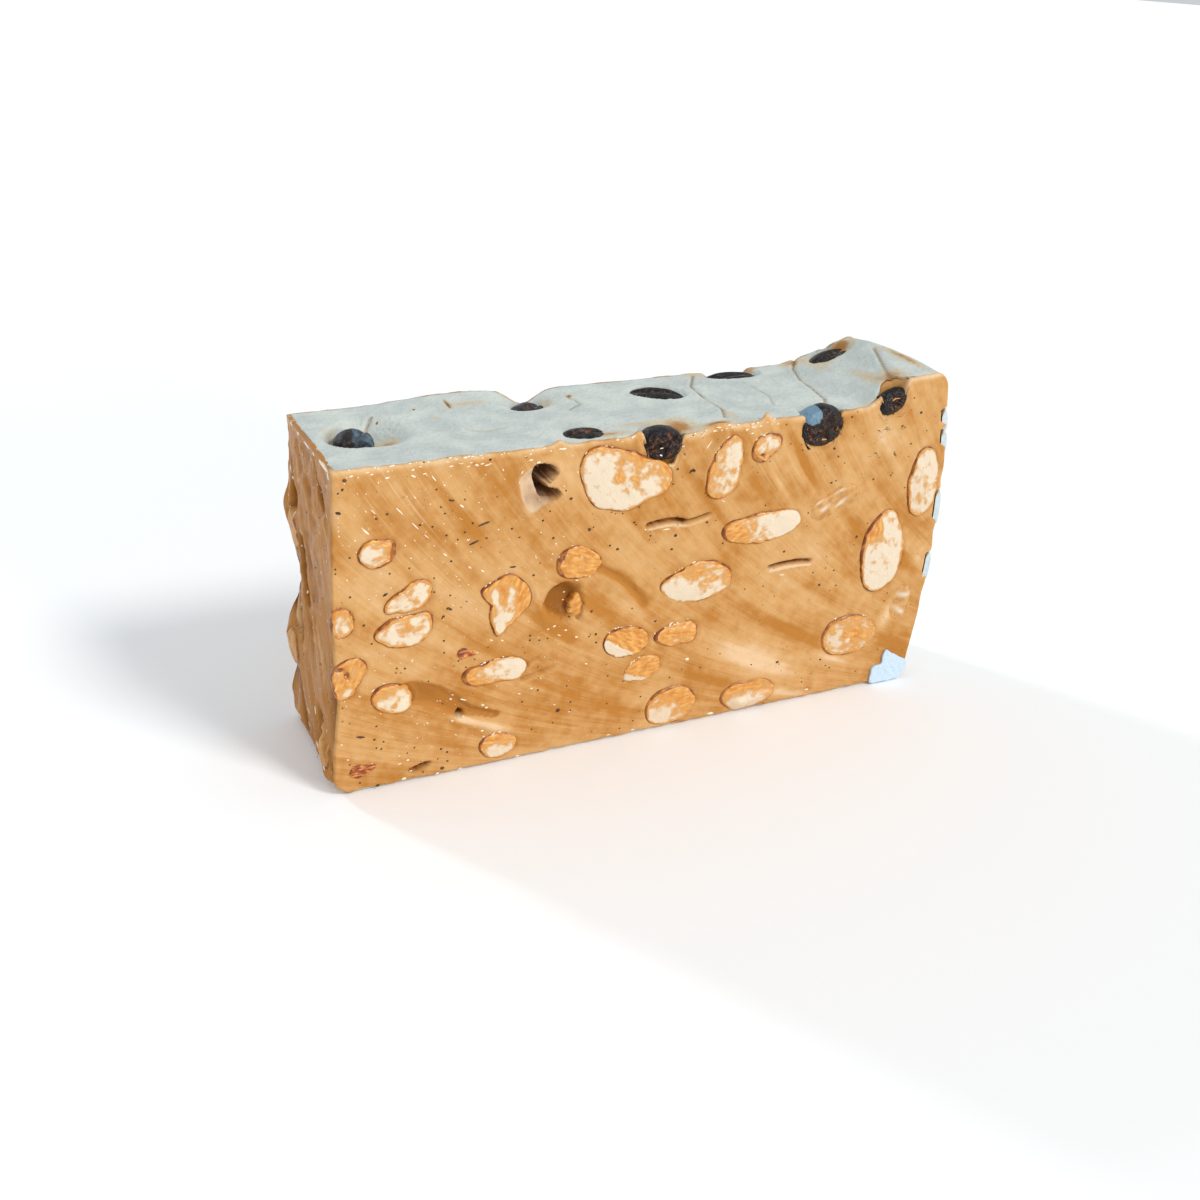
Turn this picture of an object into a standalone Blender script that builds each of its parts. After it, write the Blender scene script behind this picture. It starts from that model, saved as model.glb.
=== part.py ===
"""Coffee and almond nougat bar, a slab cut by hand from a larger block.

The bar stands upright on one long thin side. Its front (-Y), back (+Y) and left end (-X) are
knife cuts that show almonds. A thin pale edible wafer covers the top and the rounded right end,
another lies under the bar, and coffee beans are pressed in along the top.
Modelled in metres, +Z up, origin in the middle of the foot. Shapes are worked out in millimetres.
"""
import math

import bmesh
import bpy
import numpy as np
from mathutils import Matrix, Vector

MM = 0.001

# The bar's driving sizes, in millimetres.
HALF_DEPTH = 17.5
TOP = 70.2
LEFT_FOOT = -71.8
LEFT_LEAN = 2.7
RIGHT_EDGE = 68.4
RIGHT_BULGE = 3.4
RIGHT_LIFT = 5.6
TOP_CORNER = 4.0
FOOT_CORNER = 3.2
WAFER = 0.5
GAP = 0.3
PROUD = 0.5

# How finely the solids are divided.
TOP_STEPS = 34
END_STEPS = 9
FOOT_STEPS = 6
CORNER_STEPS = 3
ROWS_ACROSS = 6
ALMOND_SIDES = 12
HOLE_SIDES = 18
BEAN_SIDES = 10
BEAN_RINGS = 6

# Almonds cut on the front: along, height, half length, half width, tilt in degrees,
# how much one tip is narrower than the other, how three-cornered, depth into the bar.
FRONT_ALMONDS = (
    (-61.1, 52.9, 3.7, 2.7, 10, 0.0, 0.0, 5.0),
    (-55.3, 42.5, 6.0, 2.7, 24, -0.4, 0.0, 5.5),
    (-56.0, 35.2, 6.0, 3.3, 5, 0.0, 0.0, 6.0),
    (-67.9, 39.6, 4.0, 2.6, 70, 0.0, 0.0, 5.0),
    (-66.9, 27.2, 4.3, 3.3, 60, 0.2, 0.10, 5.0),
    (-59.1, 20.7, 4.9, 3.4, -22, 0.0, 0.0, 6.0),
    (-34.3, 37.2, 6.3, 5.0, 62, -0.3, 0.22, 6.0),
    (-37.2, 22.7, 6.8, 2.8, -2, 0.2, 0.0, 6.0),
    (-36.3, 5.0, 4.4, 2.9, -4, 0.0, 0.0, 5.0),
    (-18.9, 44.5, 4.8, 3.3, -16, 0.0, 0.0, 5.0),
    (-20.2, 34.6, 2.6, 2.0, 30, 0.0, 0.0, 4.5),
    (-9.6, 60.6, 10.9, 6.7, -20, 0.2, 0.12, 7.5),
    (13.8, 61.3, 7.2, 4.0, 74, 0.1, 0.0, 6.0),
    (23.5, 64.5, 3.8, 2.6, 36, 0.0, 0.1, 5.0),
    (23.7, 46.0, 9.6, 3.2, 2, 0.0, 0.0, 6.5),
    (42.0, 49.4, 6.4, 2.5, 22, 0.0, 0.0, 4.5),
    (8.6, 35.5, 8.9, 4.6, 4, 0.1, 0.0, 7.0),
    (-7.2, 24.0, 5.7, 3.6, -18, 0.0, 0.0, 6.0),
    (5.2, 23.6, 5.5, 3.0, -5, 0.0, 0.0, 5.5),
    (-3.3, 16.3, 4.8, 2.8, 8, 0.0, 0.0, 5.5),
    (4.8, 6.0, 6.1, 4.5, 8, 0.0, 0.0, 6.0),
    (24.4, 5.0, 7.1, 3.3, -6, 0.0, 0.0, 5.5),
    (51.2, 14.8, 8.0, 5.0, -18, 0.0, 0.0, 6.5),
    (57.1, 35.7, 10.3, 5.5, 94, 0.1, 0.0, 7.5),
    (65.6, 51.5, 8.5, 3.8, 92, 0.1, 0.0, 6.0),
    (64.2, 21.2, 4.2, 2.4, 64, 0.0, 0.0, 4.5),
)

# Almonds cut on the back, by the same rule.
BACK_ALMONDS = (
    (-60.0, 58.0, 6.5, 3.6, 40, 0.2, 0.0, 6.0),
    (-58.0, 33.0, 8.5, 4.4, -15, 0.1, 0.0, 6.5),
    (-62.0, 12.0, 5.5, 3.4, 20, 0.0, 0.0, 5.5),
    (-38.0, 60.0, 5.2, 3.3, -30, 0.0, 0.0, 5.5),
    (-36.0, 44.0, 9.0, 4.2, 12, 0.1, 0.0, 6.5),
    (-40.0, 14.0, 7.5, 4.0, -25, 0.2, 0.1, 6.0),
    (-17.0, 27.0, 8.2, 4.6, 35, 0.1, 0.0, 6.5),
    (-12.0, 53.0, 7.0, 3.8, 70, 0.0, 0.0, 6.0),
    (-10.0, 8.5, 5.4, 3.4, 5, 0.0, 0.0, 5.5),
    (10.0, 40.0, 9.8, 5.0, -12, 0.1, 0.1, 7.0),
    (16.0, 17.0, 6.6, 3.6, 28, 0.1, 0.0, 6.0),
    (22.0, 59.0, 8.0, 3.4, 8, 0.1, 0.0, 6.0),
    (38.0, 31.0, 9.4, 4.8, 82, 0.1, 0.0, 7.0),
    (46.0, 55.0, 5.6, 3.6, -35, 0.0, 0.0, 5.5),
    (56.0, 12.0, 7.4, 4.2, 14, 0.1, 0.0, 6.0),
    (61.0, 44.0, 8.6, 4.0, 66, 0.1, 0.0, 6.5),
)

# Almonds cut on the left end: across, height, then as above.
END_ALMONDS = (
    (12.6, 47.5, 4.6, 2.8, 88, 0.0, 0.0, 4.5),
    (13.2, 19.0, 4.2, 3.0, 80, 0.0, 0.1, 4.5),
    (-10.6, 9.6, 5.2, 2.5, 60, 0.2, 0.0, 4.0),
)

# Loose scraps of brown almond skin caught in the front cut.
SKIN_SCRAPS = (
    (-66.2, 5.6, 2.7, 1.3, 12, 0.2, 0.2, 2.2),
    (-43.6, 27.8, 2.1, 0.9, -8, 0.3, 0.2, 1.8),
)

# Coffee beans: middle (along, across, height), half length, half width, half height,
# turn about the upright axis, tilt of the long axis, lean towards the front, in degrees.
COFFEE_BEANS = (
    ((-59.7, 1.0, 66.4), 5.3, 4.1, 2.9, 32, 0, 14),
    ((-19.5, 10.5, 66.0), 5.0, 3.5, 2.8, 40, 0, 0),
    ((-18.3, -12.6, 69.5), 4.7, 3.2, 2.0, -8, 0, 6),
    ((9.6, 7.4, 67.8), 5.8, 3.6, 2.7, -35, 0, 0),
    ((-1.0, -15.2, 67.4), 4.7, 4.4, 3.7, 0, -6, 90),
    ((32.4, 15.0, 68.4), 6.2, 3.7, 2.7, -4, 0, 0),
    ((37.0, -15.2, 67.0), 5.8, 4.6, 4.4, 0, 6, 90),
    ((58.0, 12.9, 71.2), 5.9, 4.0, 2.8, 6, 12, 0),
    ((53.8, -15.6, 71.2), 4.2, 3.4, 2.7, 0, 22, 90),
)

AIR_HOLE = (-28.2, 61.8)
AIR_HOLE_RADIUS = 4.7
AIR_HOLE_DEPTH = 7.5
LOST_ALMOND = (-22.0, 36.4)
LOST_ALMOND_RADIUS = 4.0
LOST_ALMOND_DEPTH = 3.6
OPENING_REACH = 8.0

NOUGAT_TAN = (0.66, 0.36, 0.13)
ALMOND_CREAM = (0.82, 0.68, 0.46)
SKIN_BROWN = (0.24, 0.07, 0.03)
BEAN_BROWN = (0.035, 0.022, 0.018)
WAFER_WHITE = (0.64, 0.68, 0.67)


def ramp(value, start, end):
    """Smooth step from 0 at start to 1 at end."""
    t = np.clip((value - start) / (end - start), 0.0, 1.0)
    return t * t * (3.0 - 2.0 * t)


def hump(value, middle, width):
    """Bell curve of height 1, width to the 1/e level."""
    return np.exp(-((value - middle) / width) ** 2)


def top_height(x, y):
    """Height of the top: level, rising at the right end, with hollows round the beans."""
    back = (y + HALF_DEPTH) / (2.0 * HALF_DEPTH)
    rise_start = 46.5 - 2.5 * back
    rise_end = 57.5 + 12.5 * back
    height = TOP + RIGHT_LIFT * ramp(x, rise_start, rise_end)
    height = height + 0.6 * ramp(x, 58.0, 67.0) * (1.0 - back)
    height = height + 1.0 * ramp(x, 57.0, 67.0) * (1.0 - (y / HALF_DEPTH) ** 2)
    height = height + 1.1 * hump(x, -34.0, 15.0) * ramp(y, 2.0, HALF_DEPTH)
    fold = -18.0 - 0.25 * (HALF_DEPTH - y)
    height = height - 3.2 * hump(x, fold, 4.2) * ramp(y, 3.0, 11.0)
    height = height - 3.4 * hump(x, -58.8, 6.4) * hump(y, 1.6, 6.2)
    height = height - 1.1 * hump(x, 3.5, 7.0) * (1.0 - ramp(y, -HALF_DEPTH, -7.0))
    return height


def right_end(z):
    """The right end swells outwards at half height."""
    return RIGHT_EDGE + RIGHT_BULGE * np.sin(np.pi * np.clip((z - 2.0) / 76.0, 0.0, 1.0))


def left_end(y, z):
    """The cut left end leans inwards towards the top, with lumps near its back edge."""
    back = ramp(y, 6.0, 16.0)
    lean = LEFT_FOOT + LEFT_LEAN * z / TOP
    recess = 1.3 * hump(z, 37.0, 6.0) * back
    lumps = 0.7 * hump(z, 51.0, 4.0) * back + 0.7 * hump(z, 20.0, 5.0) * back
    return lean + recess - lumps


def outline(y):
    """Points round the bar in the plane across it at y: top, right end, foot, left end."""
    xs, zs = [], []
    corner_x = RIGHT_EDGE + 0.6 - TOP_CORNER
    left_top = LEFT_FOOT + LEFT_LEAN
    for x in np.linspace(left_top, corner_x, TOP_STEPS + 1):
        xs.append(x)
        zs.append(float(top_height(x, y)))
    corner_z = zs[-1] - TOP_CORNER
    for step in range(1, CORNER_STEPS + 1):
        angle = math.radians(90.0 * (1.0 - step / CORNER_STEPS))
        xs.append(corner_x + TOP_CORNER * math.cos(angle))
        zs.append(corner_z + TOP_CORNER * math.sin(angle))
    for z in np.linspace(corner_z, FOOT_CORNER, END_STEPS + 1)[1:]:
        xs.append(float(right_end(z)))
        zs.append(z)
    foot_right = xs[-1] - FOOT_CORNER
    for step in range(1, CORNER_STEPS + 1):
        angle = math.radians(-90.0 * step / CORNER_STEPS)
        xs.append(foot_right + FOOT_CORNER * math.cos(angle))
        zs.append(FOOT_CORNER + FOOT_CORNER * math.sin(angle))
    foot_left = LEFT_FOOT + FOOT_CORNER
    for x in np.linspace(foot_right, foot_left, FOOT_STEPS + 1)[1:]:
        xs.append(x)
        zs.append(0.0)
    for step in range(1, CORNER_STEPS + 1):
        angle = math.radians(-90.0 - 90.0 * step / CORNER_STEPS)
        xs.append(foot_left + FOOT_CORNER * math.cos(angle))
        zs.append(FOOT_CORNER + FOOT_CORNER * math.sin(angle))
    for z in np.linspace(FOOT_CORNER, TOP, END_STEPS + 1)[1:-1]:
        xs.append(float(left_end(y, z)))
        zs.append(z)
    return np.column_stack((xs, np.full(len(xs), y), zs))


def skin_grid():
    """The bar's outer surface: stations round the outline, rows across the bar."""
    rows = [outline(y) for y in np.linspace(-HALF_DEPTH, HALF_DEPTH, ROWS_ACROSS + 1)]
    return np.stack(rows, axis=1)


def inward(grid, distance):
    """The same grid moved inwards, square to the surface in the plane of the outline."""
    ahead = np.roll(grid, -1, axis=0) - np.roll(grid, 1, axis=0)
    normal = np.stack((ahead[..., 2], np.zeros(ahead.shape[:2]), -ahead[..., 0]), axis=-1)
    normal /= np.linalg.norm(normal, axis=-1, keepdims=True)
    return grid + normal * distance


def new_mesh(points, faces):
    """A mesh, in metres, from points in millimetres."""
    mesh = bpy.data.meshes.new("shape")
    mesh.from_pydata([tuple(MM * value for value in point) for point in points], [], faces)
    mesh.validate()
    return mesh


def add_object(name, mesh, material):
    """Link a mesh to the scene under its own name, shaded smooth but for its sharp edges."""
    mesh.name = name
    mesh.materials.clear()
    mesh.materials.append(material)
    mesh.shade_smooth()
    mesh.set_sharp_from_angle(angle=math.radians(40.0))
    thing = bpy.data.objects.new(name, mesh)
    bpy.context.scene.collection.objects.link(thing)
    return thing


def add_material(name, colour, roughness):
    """A plain Principled material."""
    material = bpy.data.materials.new(name)
    material.use_nodes = True
    shader = material.node_tree.nodes["Principled BSDF"]
    shader.inputs["Base Color"].default_value = (*colour, 1.0)
    shader.inputs["Roughness"].default_value = roughness
    shader.inputs["Metallic"].default_value = 0.0
    return material


def block_mesh(grid):
    """Closed block: quads round the outline and one flat face at the front and the back."""
    stations, rows = grid.shape[:2]
    points = grid.reshape(-1, 3)
    faces = []
    for i in range(stations):
        j = (i + 1) % stations
        for k in range(rows - 1):
            faces.append((i * rows + k, i * rows + k + 1, j * rows + k + 1, j * rows + k))
    faces.append(tuple(i * rows for i in range(stations)))
    faces.append(tuple(i * rows + rows - 1 for i in reversed(range(stations))))
    mesh = new_mesh(points, faces)
    split_bent_quads(mesh)
    face_outwards(mesh)
    return mesh


def sheet_mesh(outer, inner):
    """Closed thin sheet between two open grids of the same size."""
    stations, rows = outer.shape[:2]
    points = np.concatenate((outer.reshape(-1, 3), inner.reshape(-1, 3)))
    under = stations * rows
    faces = []
    for i in range(stations - 1):
        for k in range(rows - 1):
            a, b = i * rows + k, i * rows + k + 1
            c, d = (i + 1) * rows + k + 1, (i + 1) * rows + k
            faces.append((a, b, c, d))
            faces.append((under + d, under + c, under + b, under + a))
    rim = [i * rows for i in range(stations)]
    rim += [(stations - 1) * rows + k for k in range(1, rows)]
    rim += [i * rows + rows - 1 for i in range(stations - 2, -1, -1)]
    rim += [k for k in range(rows - 2, 0, -1)]
    for here, there in zip(rim, rim[1:] + rim[:1]):
        faces.append((here, there, under + there, under + here))
    mesh = new_mesh(points, faces)
    split_bent_quads(mesh)
    face_outwards(mesh)
    return mesh


def split_bent_quads(mesh):
    """Split the quads of a curved surface into triangles; the large flat faces stay whole."""
    work = bmesh.new()
    work.from_mesh(mesh)
    quads = [face for face in work.faces if len(face.verts) == 4]
    bmesh.ops.triangulate(work, faces=quads)
    work.to_mesh(mesh)
    work.free()


def face_outwards(mesh):
    """Recalculate the normals of a closed mesh."""
    work = bmesh.new()
    work.from_mesh(mesh)
    bmesh.ops.recalc_face_normals(work, faces=work.faces)
    work.to_mesh(mesh)
    work.free()


def rings_mesh(rings, front, back):
    """Closed shape from rings of equal count, ended by two single points."""
    sides = len(rings[0])
    points = [tuple(point) for ring in rings for point in ring] + [front, back]
    first, last = len(points) - 2, len(points) - 1
    faces = []
    for level in range(len(rings) - 1):
        for i in range(sides):
            j = (i + 1) % sides
            low, high = level * sides, (level + 1) * sides
            faces.append((low + i, low + j, high + j, high + i))
    end = (len(rings) - 1) * sides
    for i in range(sides):
        j = (i + 1) % sides
        faces.append((first, j, i))
        faces.append((last, end + i, end + j))
    mesh = new_mesh(points, faces)
    face_outwards(mesh)
    return mesh


def nut_outline(half_length, half_width, tilt, narrow, three, grow=0.0):
    """Outline of a cut nut: an ellipse, one tip narrower, pulled towards three corners."""
    angle = np.linspace(0.0, 2.0 * np.pi, ALMOND_SIDES, endpoint=False)
    swell = 1.0 + three * np.cos(3.0 * angle)
    along = (half_length + grow) * np.cos(angle) * swell
    up = (half_width + grow) * np.sin(angle) * (1.0 - narrow * np.cos(angle)) * swell
    turn = math.radians(tilt)
    return (along * math.cos(turn) - up * math.sin(turn),
            along * math.sin(turn) + up * math.cos(turn))


def nut_mesh(row, place, grow=0.0, proud=PROUD):
    """A cut nut: a low crowned face, its widest ring below it, tapering into the bar.

    place turns (sideways, height, depth) into bar coordinates.
    """
    side, height, half_length, half_width, tilt, narrow, three, depth = row
    along, up = nut_outline(half_length, half_width, tilt, narrow, three, grow)
    rings = []
    for level, scale in ((-proud, 0.97), (0.45 * depth, 0.9)):
        rings.append([place(side + scale * a, height + scale * u, level)
                      for a, u in zip(along, up)])
    front = place(side, height, -proud - 0.2)
    back = place(side, height, depth + grow)
    return rings_mesh(rings, front, back)


def on_front(side, height, depth):
    return (side, -HALF_DEPTH + depth, height)


def on_back(side, height, depth):
    return (side, HALF_DEPTH - depth, height)


def on_end(side, height, depth):
    return (LEFT_FOOT + LEFT_LEAN * height / TOP + WAFER + GAP + depth, side, height)


def hole_mesh(middle, radius, depth, lobes, swing):
    """Cutter for an open hole: a lobed outline that narrows with depth."""
    angle = np.linspace(0.0, 2.0 * np.pi, HOLE_SIDES, endpoint=False)
    reach = radius * (1.0 + swing * np.cos(lobes * (angle - 0.9)))
    rings = []
    for level, scale in ((-1.2, 1.0), (0.5 * depth, 0.92), (0.9 * depth, 0.6)):
        rings.append([on_front(middle[0] + scale * r * math.cos(a),
                               middle[1] + 1.1 * scale * r * math.sin(a), level)
                      for r, a in zip(reach, angle)])
    return rings_mesh(rings, on_front(*middle, -1.4), on_front(*middle, depth))


def bean_mesh(row, grow=0.0, cut=True):
    """A coffee bean: an oval with a flatter face and a crease along it.

    Rings run along the bean; a bean that reaches a cut face is sliced by it.
    """
    middle, half_length, half_width, half_height, turn, tilt, lean = row
    rings = []
    angle = np.linspace(0.0, 2.0 * np.pi, BEAN_SIDES, endpoint=False)
    crease = 1.0 - 0.22 * hump(angle, 0.5 * np.pi, 0.3)
    flatter = np.where(np.sin(angle) > 0.0, 0.75, 1.0)
    for step in range(1, BEAN_RINGS):
        polar = math.pi * step / BEAN_RINGS
        along = -(half_length + grow) * math.cos(polar)
        around = math.sin(polar)
        rings.append([(along, (half_width + grow) * around * s,
                       (half_height + grow) * around * c)
                      for s, c in zip(np.cos(angle), np.sin(angle) * crease * flatter)])
    mesh = rings_mesh(rings, (-half_length - grow, 0.0, 0.0), (half_length + grow, 0.0, 0.0))
    spin = Matrix.Rotation(math.radians(turn), 4, "Z")
    spin = spin @ Matrix.Rotation(math.radians(-tilt), 4, "Y")
    spin = spin @ Matrix.Rotation(math.radians(lean), 4, "X")
    mesh.transform(Matrix.Translation(Vector(middle) * MM) @ spin)
    if cut:
        slice_at_faces(mesh)
    return mesh


def opening_mesh(row):
    """Cutter for the opening that a bean makes in the wafer: an upright oval."""
    middle, half_length, half_width, half_height, turn, tilt, lean = row
    across = half_height if lean == 90 else half_width
    angle = np.linspace(0.0, 2.0 * np.pi, BEAN_SIDES, endpoint=False)
    along = (half_length + 2.0 * GAP) * np.cos(angle)
    sideways = (across + 2.0 * GAP) * np.sin(angle)
    turn = math.radians(turn)
    xs = middle[0] + along * math.cos(turn) - sideways * math.sin(turn)
    ys = middle[1] + along * math.sin(turn) + sideways * math.cos(turn)
    low, high = middle[2] - OPENING_REACH, middle[2] + OPENING_REACH
    rings = [[(x, y, z) for x, y in zip(xs, ys)] for z in (low, high)]
    return rings_mesh(rings, (*middle[:2], low), (*middle[:2], high))


def slice_at_faces(mesh):
    """Slice off what stands more than PROUD beyond the front and back cuts."""
    work = bmesh.new()
    work.from_mesh(mesh)
    for side in (-1.0, 1.0):
        plane = side * (HALF_DEPTH + PROUD) * MM
        everything = work.verts[:] + work.edges[:] + work.faces[:]
        bmesh.ops.bisect_plane(work, geom=everything, plane_co=(0.0, plane, 0.0),
                               plane_no=(0.0, side, 0.0), clear_outer=True)
        bmesh.ops.holes_fill(work, edges=work.edges[:], sides=0)
    bmesh.ops.recalc_face_normals(work, faces=work.faces)
    work.to_mesh(mesh)
    work.free()


def corner_flap(grow):
    """The torn wafer corner turned up over the front, with one ragged peak."""
    edge = ((58.8, 1.4), (68.0, 1.4), (68.8, 4.6), (66.8, 6.0), (64.4, 7.4), (62.6, 8.8),
            (61.4, 6.2), (58.8, 4.6))
    middle = np.mean(edge, axis=0)
    rings = []
    for depth in (-PROUD - 4.0 * grow, WAFER - PROUD + grow):
        ring = []
        for x, z in edge:
            away = np.array((x, z)) - middle
            away /= np.linalg.norm(away)
            ring.append(on_front(x + grow * away[0], z + grow * away[1], depth))
        rings.append(ring)
    front = on_front(*middle, -PROUD - 4.0 * grow)
    return rings_mesh(rings, front, on_front(*middle, WAFER - PROUD + grow))


def joined(meshes):
    """One mesh that holds several closed shells, for use as a cutter."""
    work = bmesh.new()
    for mesh in meshes:
        work.from_mesh(mesh)
    whole = bpy.data.meshes.new("cutter")
    work.to_mesh(whole)
    work.free()
    return whole


def cut_with(thing, name, mesh, crossing):
    """Take the cutter's shells out of an object; crossing says that shells may overlap."""
    cutter = bpy.data.objects.new(name, mesh)
    bpy.context.scene.collection.objects.link(cutter)
    cutter.hide_render = True
    cutter.display_type = "WIRE"
    boolean = thing.modifiers.new("pockets", "BOOLEAN")
    boolean.operation = "DIFFERENCE"
    boolean.solver = "EXACT"
    boolean.use_self = crossing
    boolean.object = cutter


def build_bar():
    """The whole bar, piece by piece."""
    nougat_look = add_material("nougat", NOUGAT_TAN, 0.42)
    almond_look = add_material("almond", ALMOND_CREAM, 0.55)
    skin_look = add_material("almond_skin", SKIN_BROWN, 0.5)
    bean_look = add_material("coffee_bean", BEAN_BROWN, 0.4)
    wafer_look = add_material("wafer", WAFER_WHITE, 0.85)

    skin = skin_grid()
    covered = TOP_STEPS + 1 + CORNER_STEPS + END_STEPS
    nougat = add_object("nougat", block_mesh(inward(skin, WAFER + GAP)), nougat_look)
    inset = np.array((1.0, (HALF_DEPTH - GAP) / HALF_DEPTH, 1.0))
    sheet = skin[:covered] * inset
    under = inward(skin, WAFER)[:covered] * inset
    wafer_top = add_object("wafer_top", sheet_mesh(sheet, under), wafer_look)

    foot_half = HALF_DEPTH - 1.0
    foot = np.array([[(x, y, WAFER) for y in (-foot_half, foot_half)]
                     for x in (LEFT_FOOT + FOOT_CORNER + 0.5, RIGHT_EDGE - FOOT_CORNER - 0.5)])
    floor = foot - np.array((0.0, 0.0, WAFER))
    add_object("wafer_base", sheet_mesh(foot, floor), wafer_look)
    add_object("wafer_corner", corner_flap(0.0), wafer_look)

    pockets = [corner_flap(GAP)]
    pockets.append(hole_mesh(AIR_HOLE, AIR_HOLE_RADIUS, AIR_HOLE_DEPTH, 3, 0.16))
    pockets.append(hole_mesh(LOST_ALMOND, LOST_ALMOND_RADIUS, LOST_ALMOND_DEPTH, 2, 0.08))
    groups = (("almond_front", FRONT_ALMONDS, on_front, almond_look),
              ("almond_back", BACK_ALMONDS, on_back, almond_look),
              ("almond_end", END_ALMONDS, on_end, almond_look),
              ("skin_scrap", SKIN_SCRAPS, on_front, skin_look))
    for group, rows, place, look in groups:
        for number, row in enumerate(rows, start=1):
            add_object(f"{group}_{number}", nut_mesh(row, place), look)
            pockets.append(nut_mesh(row, place, GAP, PROUD + 2.0))

    for number, row in enumerate(COFFEE_BEANS, start=1):
        add_object(f"coffee_bean_{number}", bean_mesh(row), bean_look)
        pockets.append(bean_mesh(row, GAP, cut=False))
    cut_with(nougat, "pocket_cutter", joined(pockets), True)
    openings = [opening_mesh(row) for row in COFFEE_BEANS]
    cut_with(wafer_top, "opening_cutter", joined(openings), False)


def stand_on_origin():
    """Move every mesh so that the origin is in the middle of the foot."""
    solids = [thing for thing in bpy.data.objects if not thing.hide_render]
    points = np.array([vertex.co for thing in solids for vertex in thing.data.vertices])
    low, high = points.min(axis=0), points.max(axis=0)
    shift = Vector((-(low[0] + high[0]) / 2.0, -(low[1] + high[1]) / 2.0, -low[2]))
    for thing in bpy.data.objects:
        thing.data.transform(Matrix.Translation(shift))


for thing in list(bpy.data.objects):
    bpy.data.objects.remove(thing, do_unlink=True)
build_bar()
stand_on_origin()
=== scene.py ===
"""Coffee and almond nougat bar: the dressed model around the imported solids.

The bar stands on one long thin side. All shapes are worked out in millimetres along (x), across (y)
and up (z) the bar, then moved to the frame and turned to metres as each mesh is made.
"""
import math

import bpy
import numpy as np
from mathutils import Matrix, Vector


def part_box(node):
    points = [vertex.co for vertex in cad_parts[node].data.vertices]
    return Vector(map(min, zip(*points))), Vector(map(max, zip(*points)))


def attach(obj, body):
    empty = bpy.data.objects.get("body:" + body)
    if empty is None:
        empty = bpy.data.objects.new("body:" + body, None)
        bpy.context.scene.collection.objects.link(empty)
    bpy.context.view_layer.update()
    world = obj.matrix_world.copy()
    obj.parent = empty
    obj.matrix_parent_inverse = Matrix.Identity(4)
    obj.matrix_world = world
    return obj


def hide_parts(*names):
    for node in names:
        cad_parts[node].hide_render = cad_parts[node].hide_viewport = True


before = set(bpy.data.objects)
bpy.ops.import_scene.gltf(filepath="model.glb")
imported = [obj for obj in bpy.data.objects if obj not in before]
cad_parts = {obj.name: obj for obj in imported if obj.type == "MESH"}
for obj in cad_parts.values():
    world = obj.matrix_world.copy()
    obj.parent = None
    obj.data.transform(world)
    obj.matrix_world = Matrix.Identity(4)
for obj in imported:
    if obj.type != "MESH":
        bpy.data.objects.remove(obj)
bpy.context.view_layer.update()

# ---------------------------------------------------------------------------------- nougat block
# Chewy coffee nougat: honey, sugar and egg white beaten with ground coffee, set between two wafer
# sheets in a slab and cut by hand. The knife drags the soft paste into bands that sweep down to
# the right, lifts a rim along the top edge and tears pits where almonds and bubbles were.
MM = 0.001
HALF_DEPTH = 17.5
TOP = 70.2
LEFT_FOOT = -71.8
LEFT_LEAN = 2.7
RIGHT_EDGE = 68.4
RIGHT_BULGE = 3.4
RIGHT_MOST = 71.5
LENGTH = 143.0
WAFER = 0.5
FOOT = 0.35
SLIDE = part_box("wafer_top")[1].x / MM - (RIGHT_EDGE + RIGHT_BULGE)


def ramp(value, start, end):
    """Smooth step from 0 at start to 1 at end."""
    t = np.clip((value - start) / (end - start), 0.0, 1.0)
    return t * t * (3.0 - 2.0 * t)


def hump(value, middle, width):
    """Bell curve of height 1 at middle, 1/e at one width from it."""
    return np.exp(-((value - middle) / width) ** 2)


def heading(degrees):
    """Cosine and sine of an angle in degrees."""
    return math.cos(math.radians(degrees)), math.sin(math.radians(degrees))


def grain(u, v, seed):
    """Smooth noise from -1 to 1: random heights on a unit lattice, blended by smooth steps."""
    lattice = np.random.default_rng(seed).uniform(-1.0, 1.0, (256, 256))
    iu, iv = np.floor(u).astype(int), np.floor(v).astype(int)
    fu, fv = ramp(u - iu, 0.0, 1.0), ramp(v - iv, 0.0, 1.0)
    a, b = lattice[iu % 256, iv % 256], lattice[(iu + 1) % 256, iv % 256]
    c, d = lattice[iu % 256, (iv + 1) % 256], lattice[(iu + 1) % 256, (iv + 1) % 256]
    return (a * (1 - fu) + b * fu) * (1 - fv) + (c * (1 - fu) + d * fu) * fv


def rough(u, v, size, seed, octaves=3):
    """Sum of grain at size, half of it, a quarter and so on, each half as high as the last."""
    total = 0.0
    for octave in range(octaves):
        scale = 2.0 ** octave / size
        total = total + grain(u * scale, v * scale, seed + octave) / 2.0 ** octave
    return total


def off_path(u, v, path):
    """Distance to the nearest point of a path of straight runs."""
    nearest = np.full(np.shape(u), 1e9)
    for (u0, v0), (u1, v1) in zip(path[:-1], path[1:]):
        span = (u1 - u0) ** 2 + (v1 - v0) ** 2
        t = np.clip(((u - u0) * (u1 - u0) + (v - v0) * (v1 - v0)) / span, 0.0, 1.0)
        nearest = np.minimum(nearest, np.hypot(u - u0 - t * (u1 - u0), v - v0 - t * (v1 - v0)))
    return nearest


def stroke(u, v, path, width):
    """Soft line of height 1 along a path: bell curve of the distance to it."""
    return np.exp(-(off_path(u, v, path) / width) ** 2)


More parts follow.
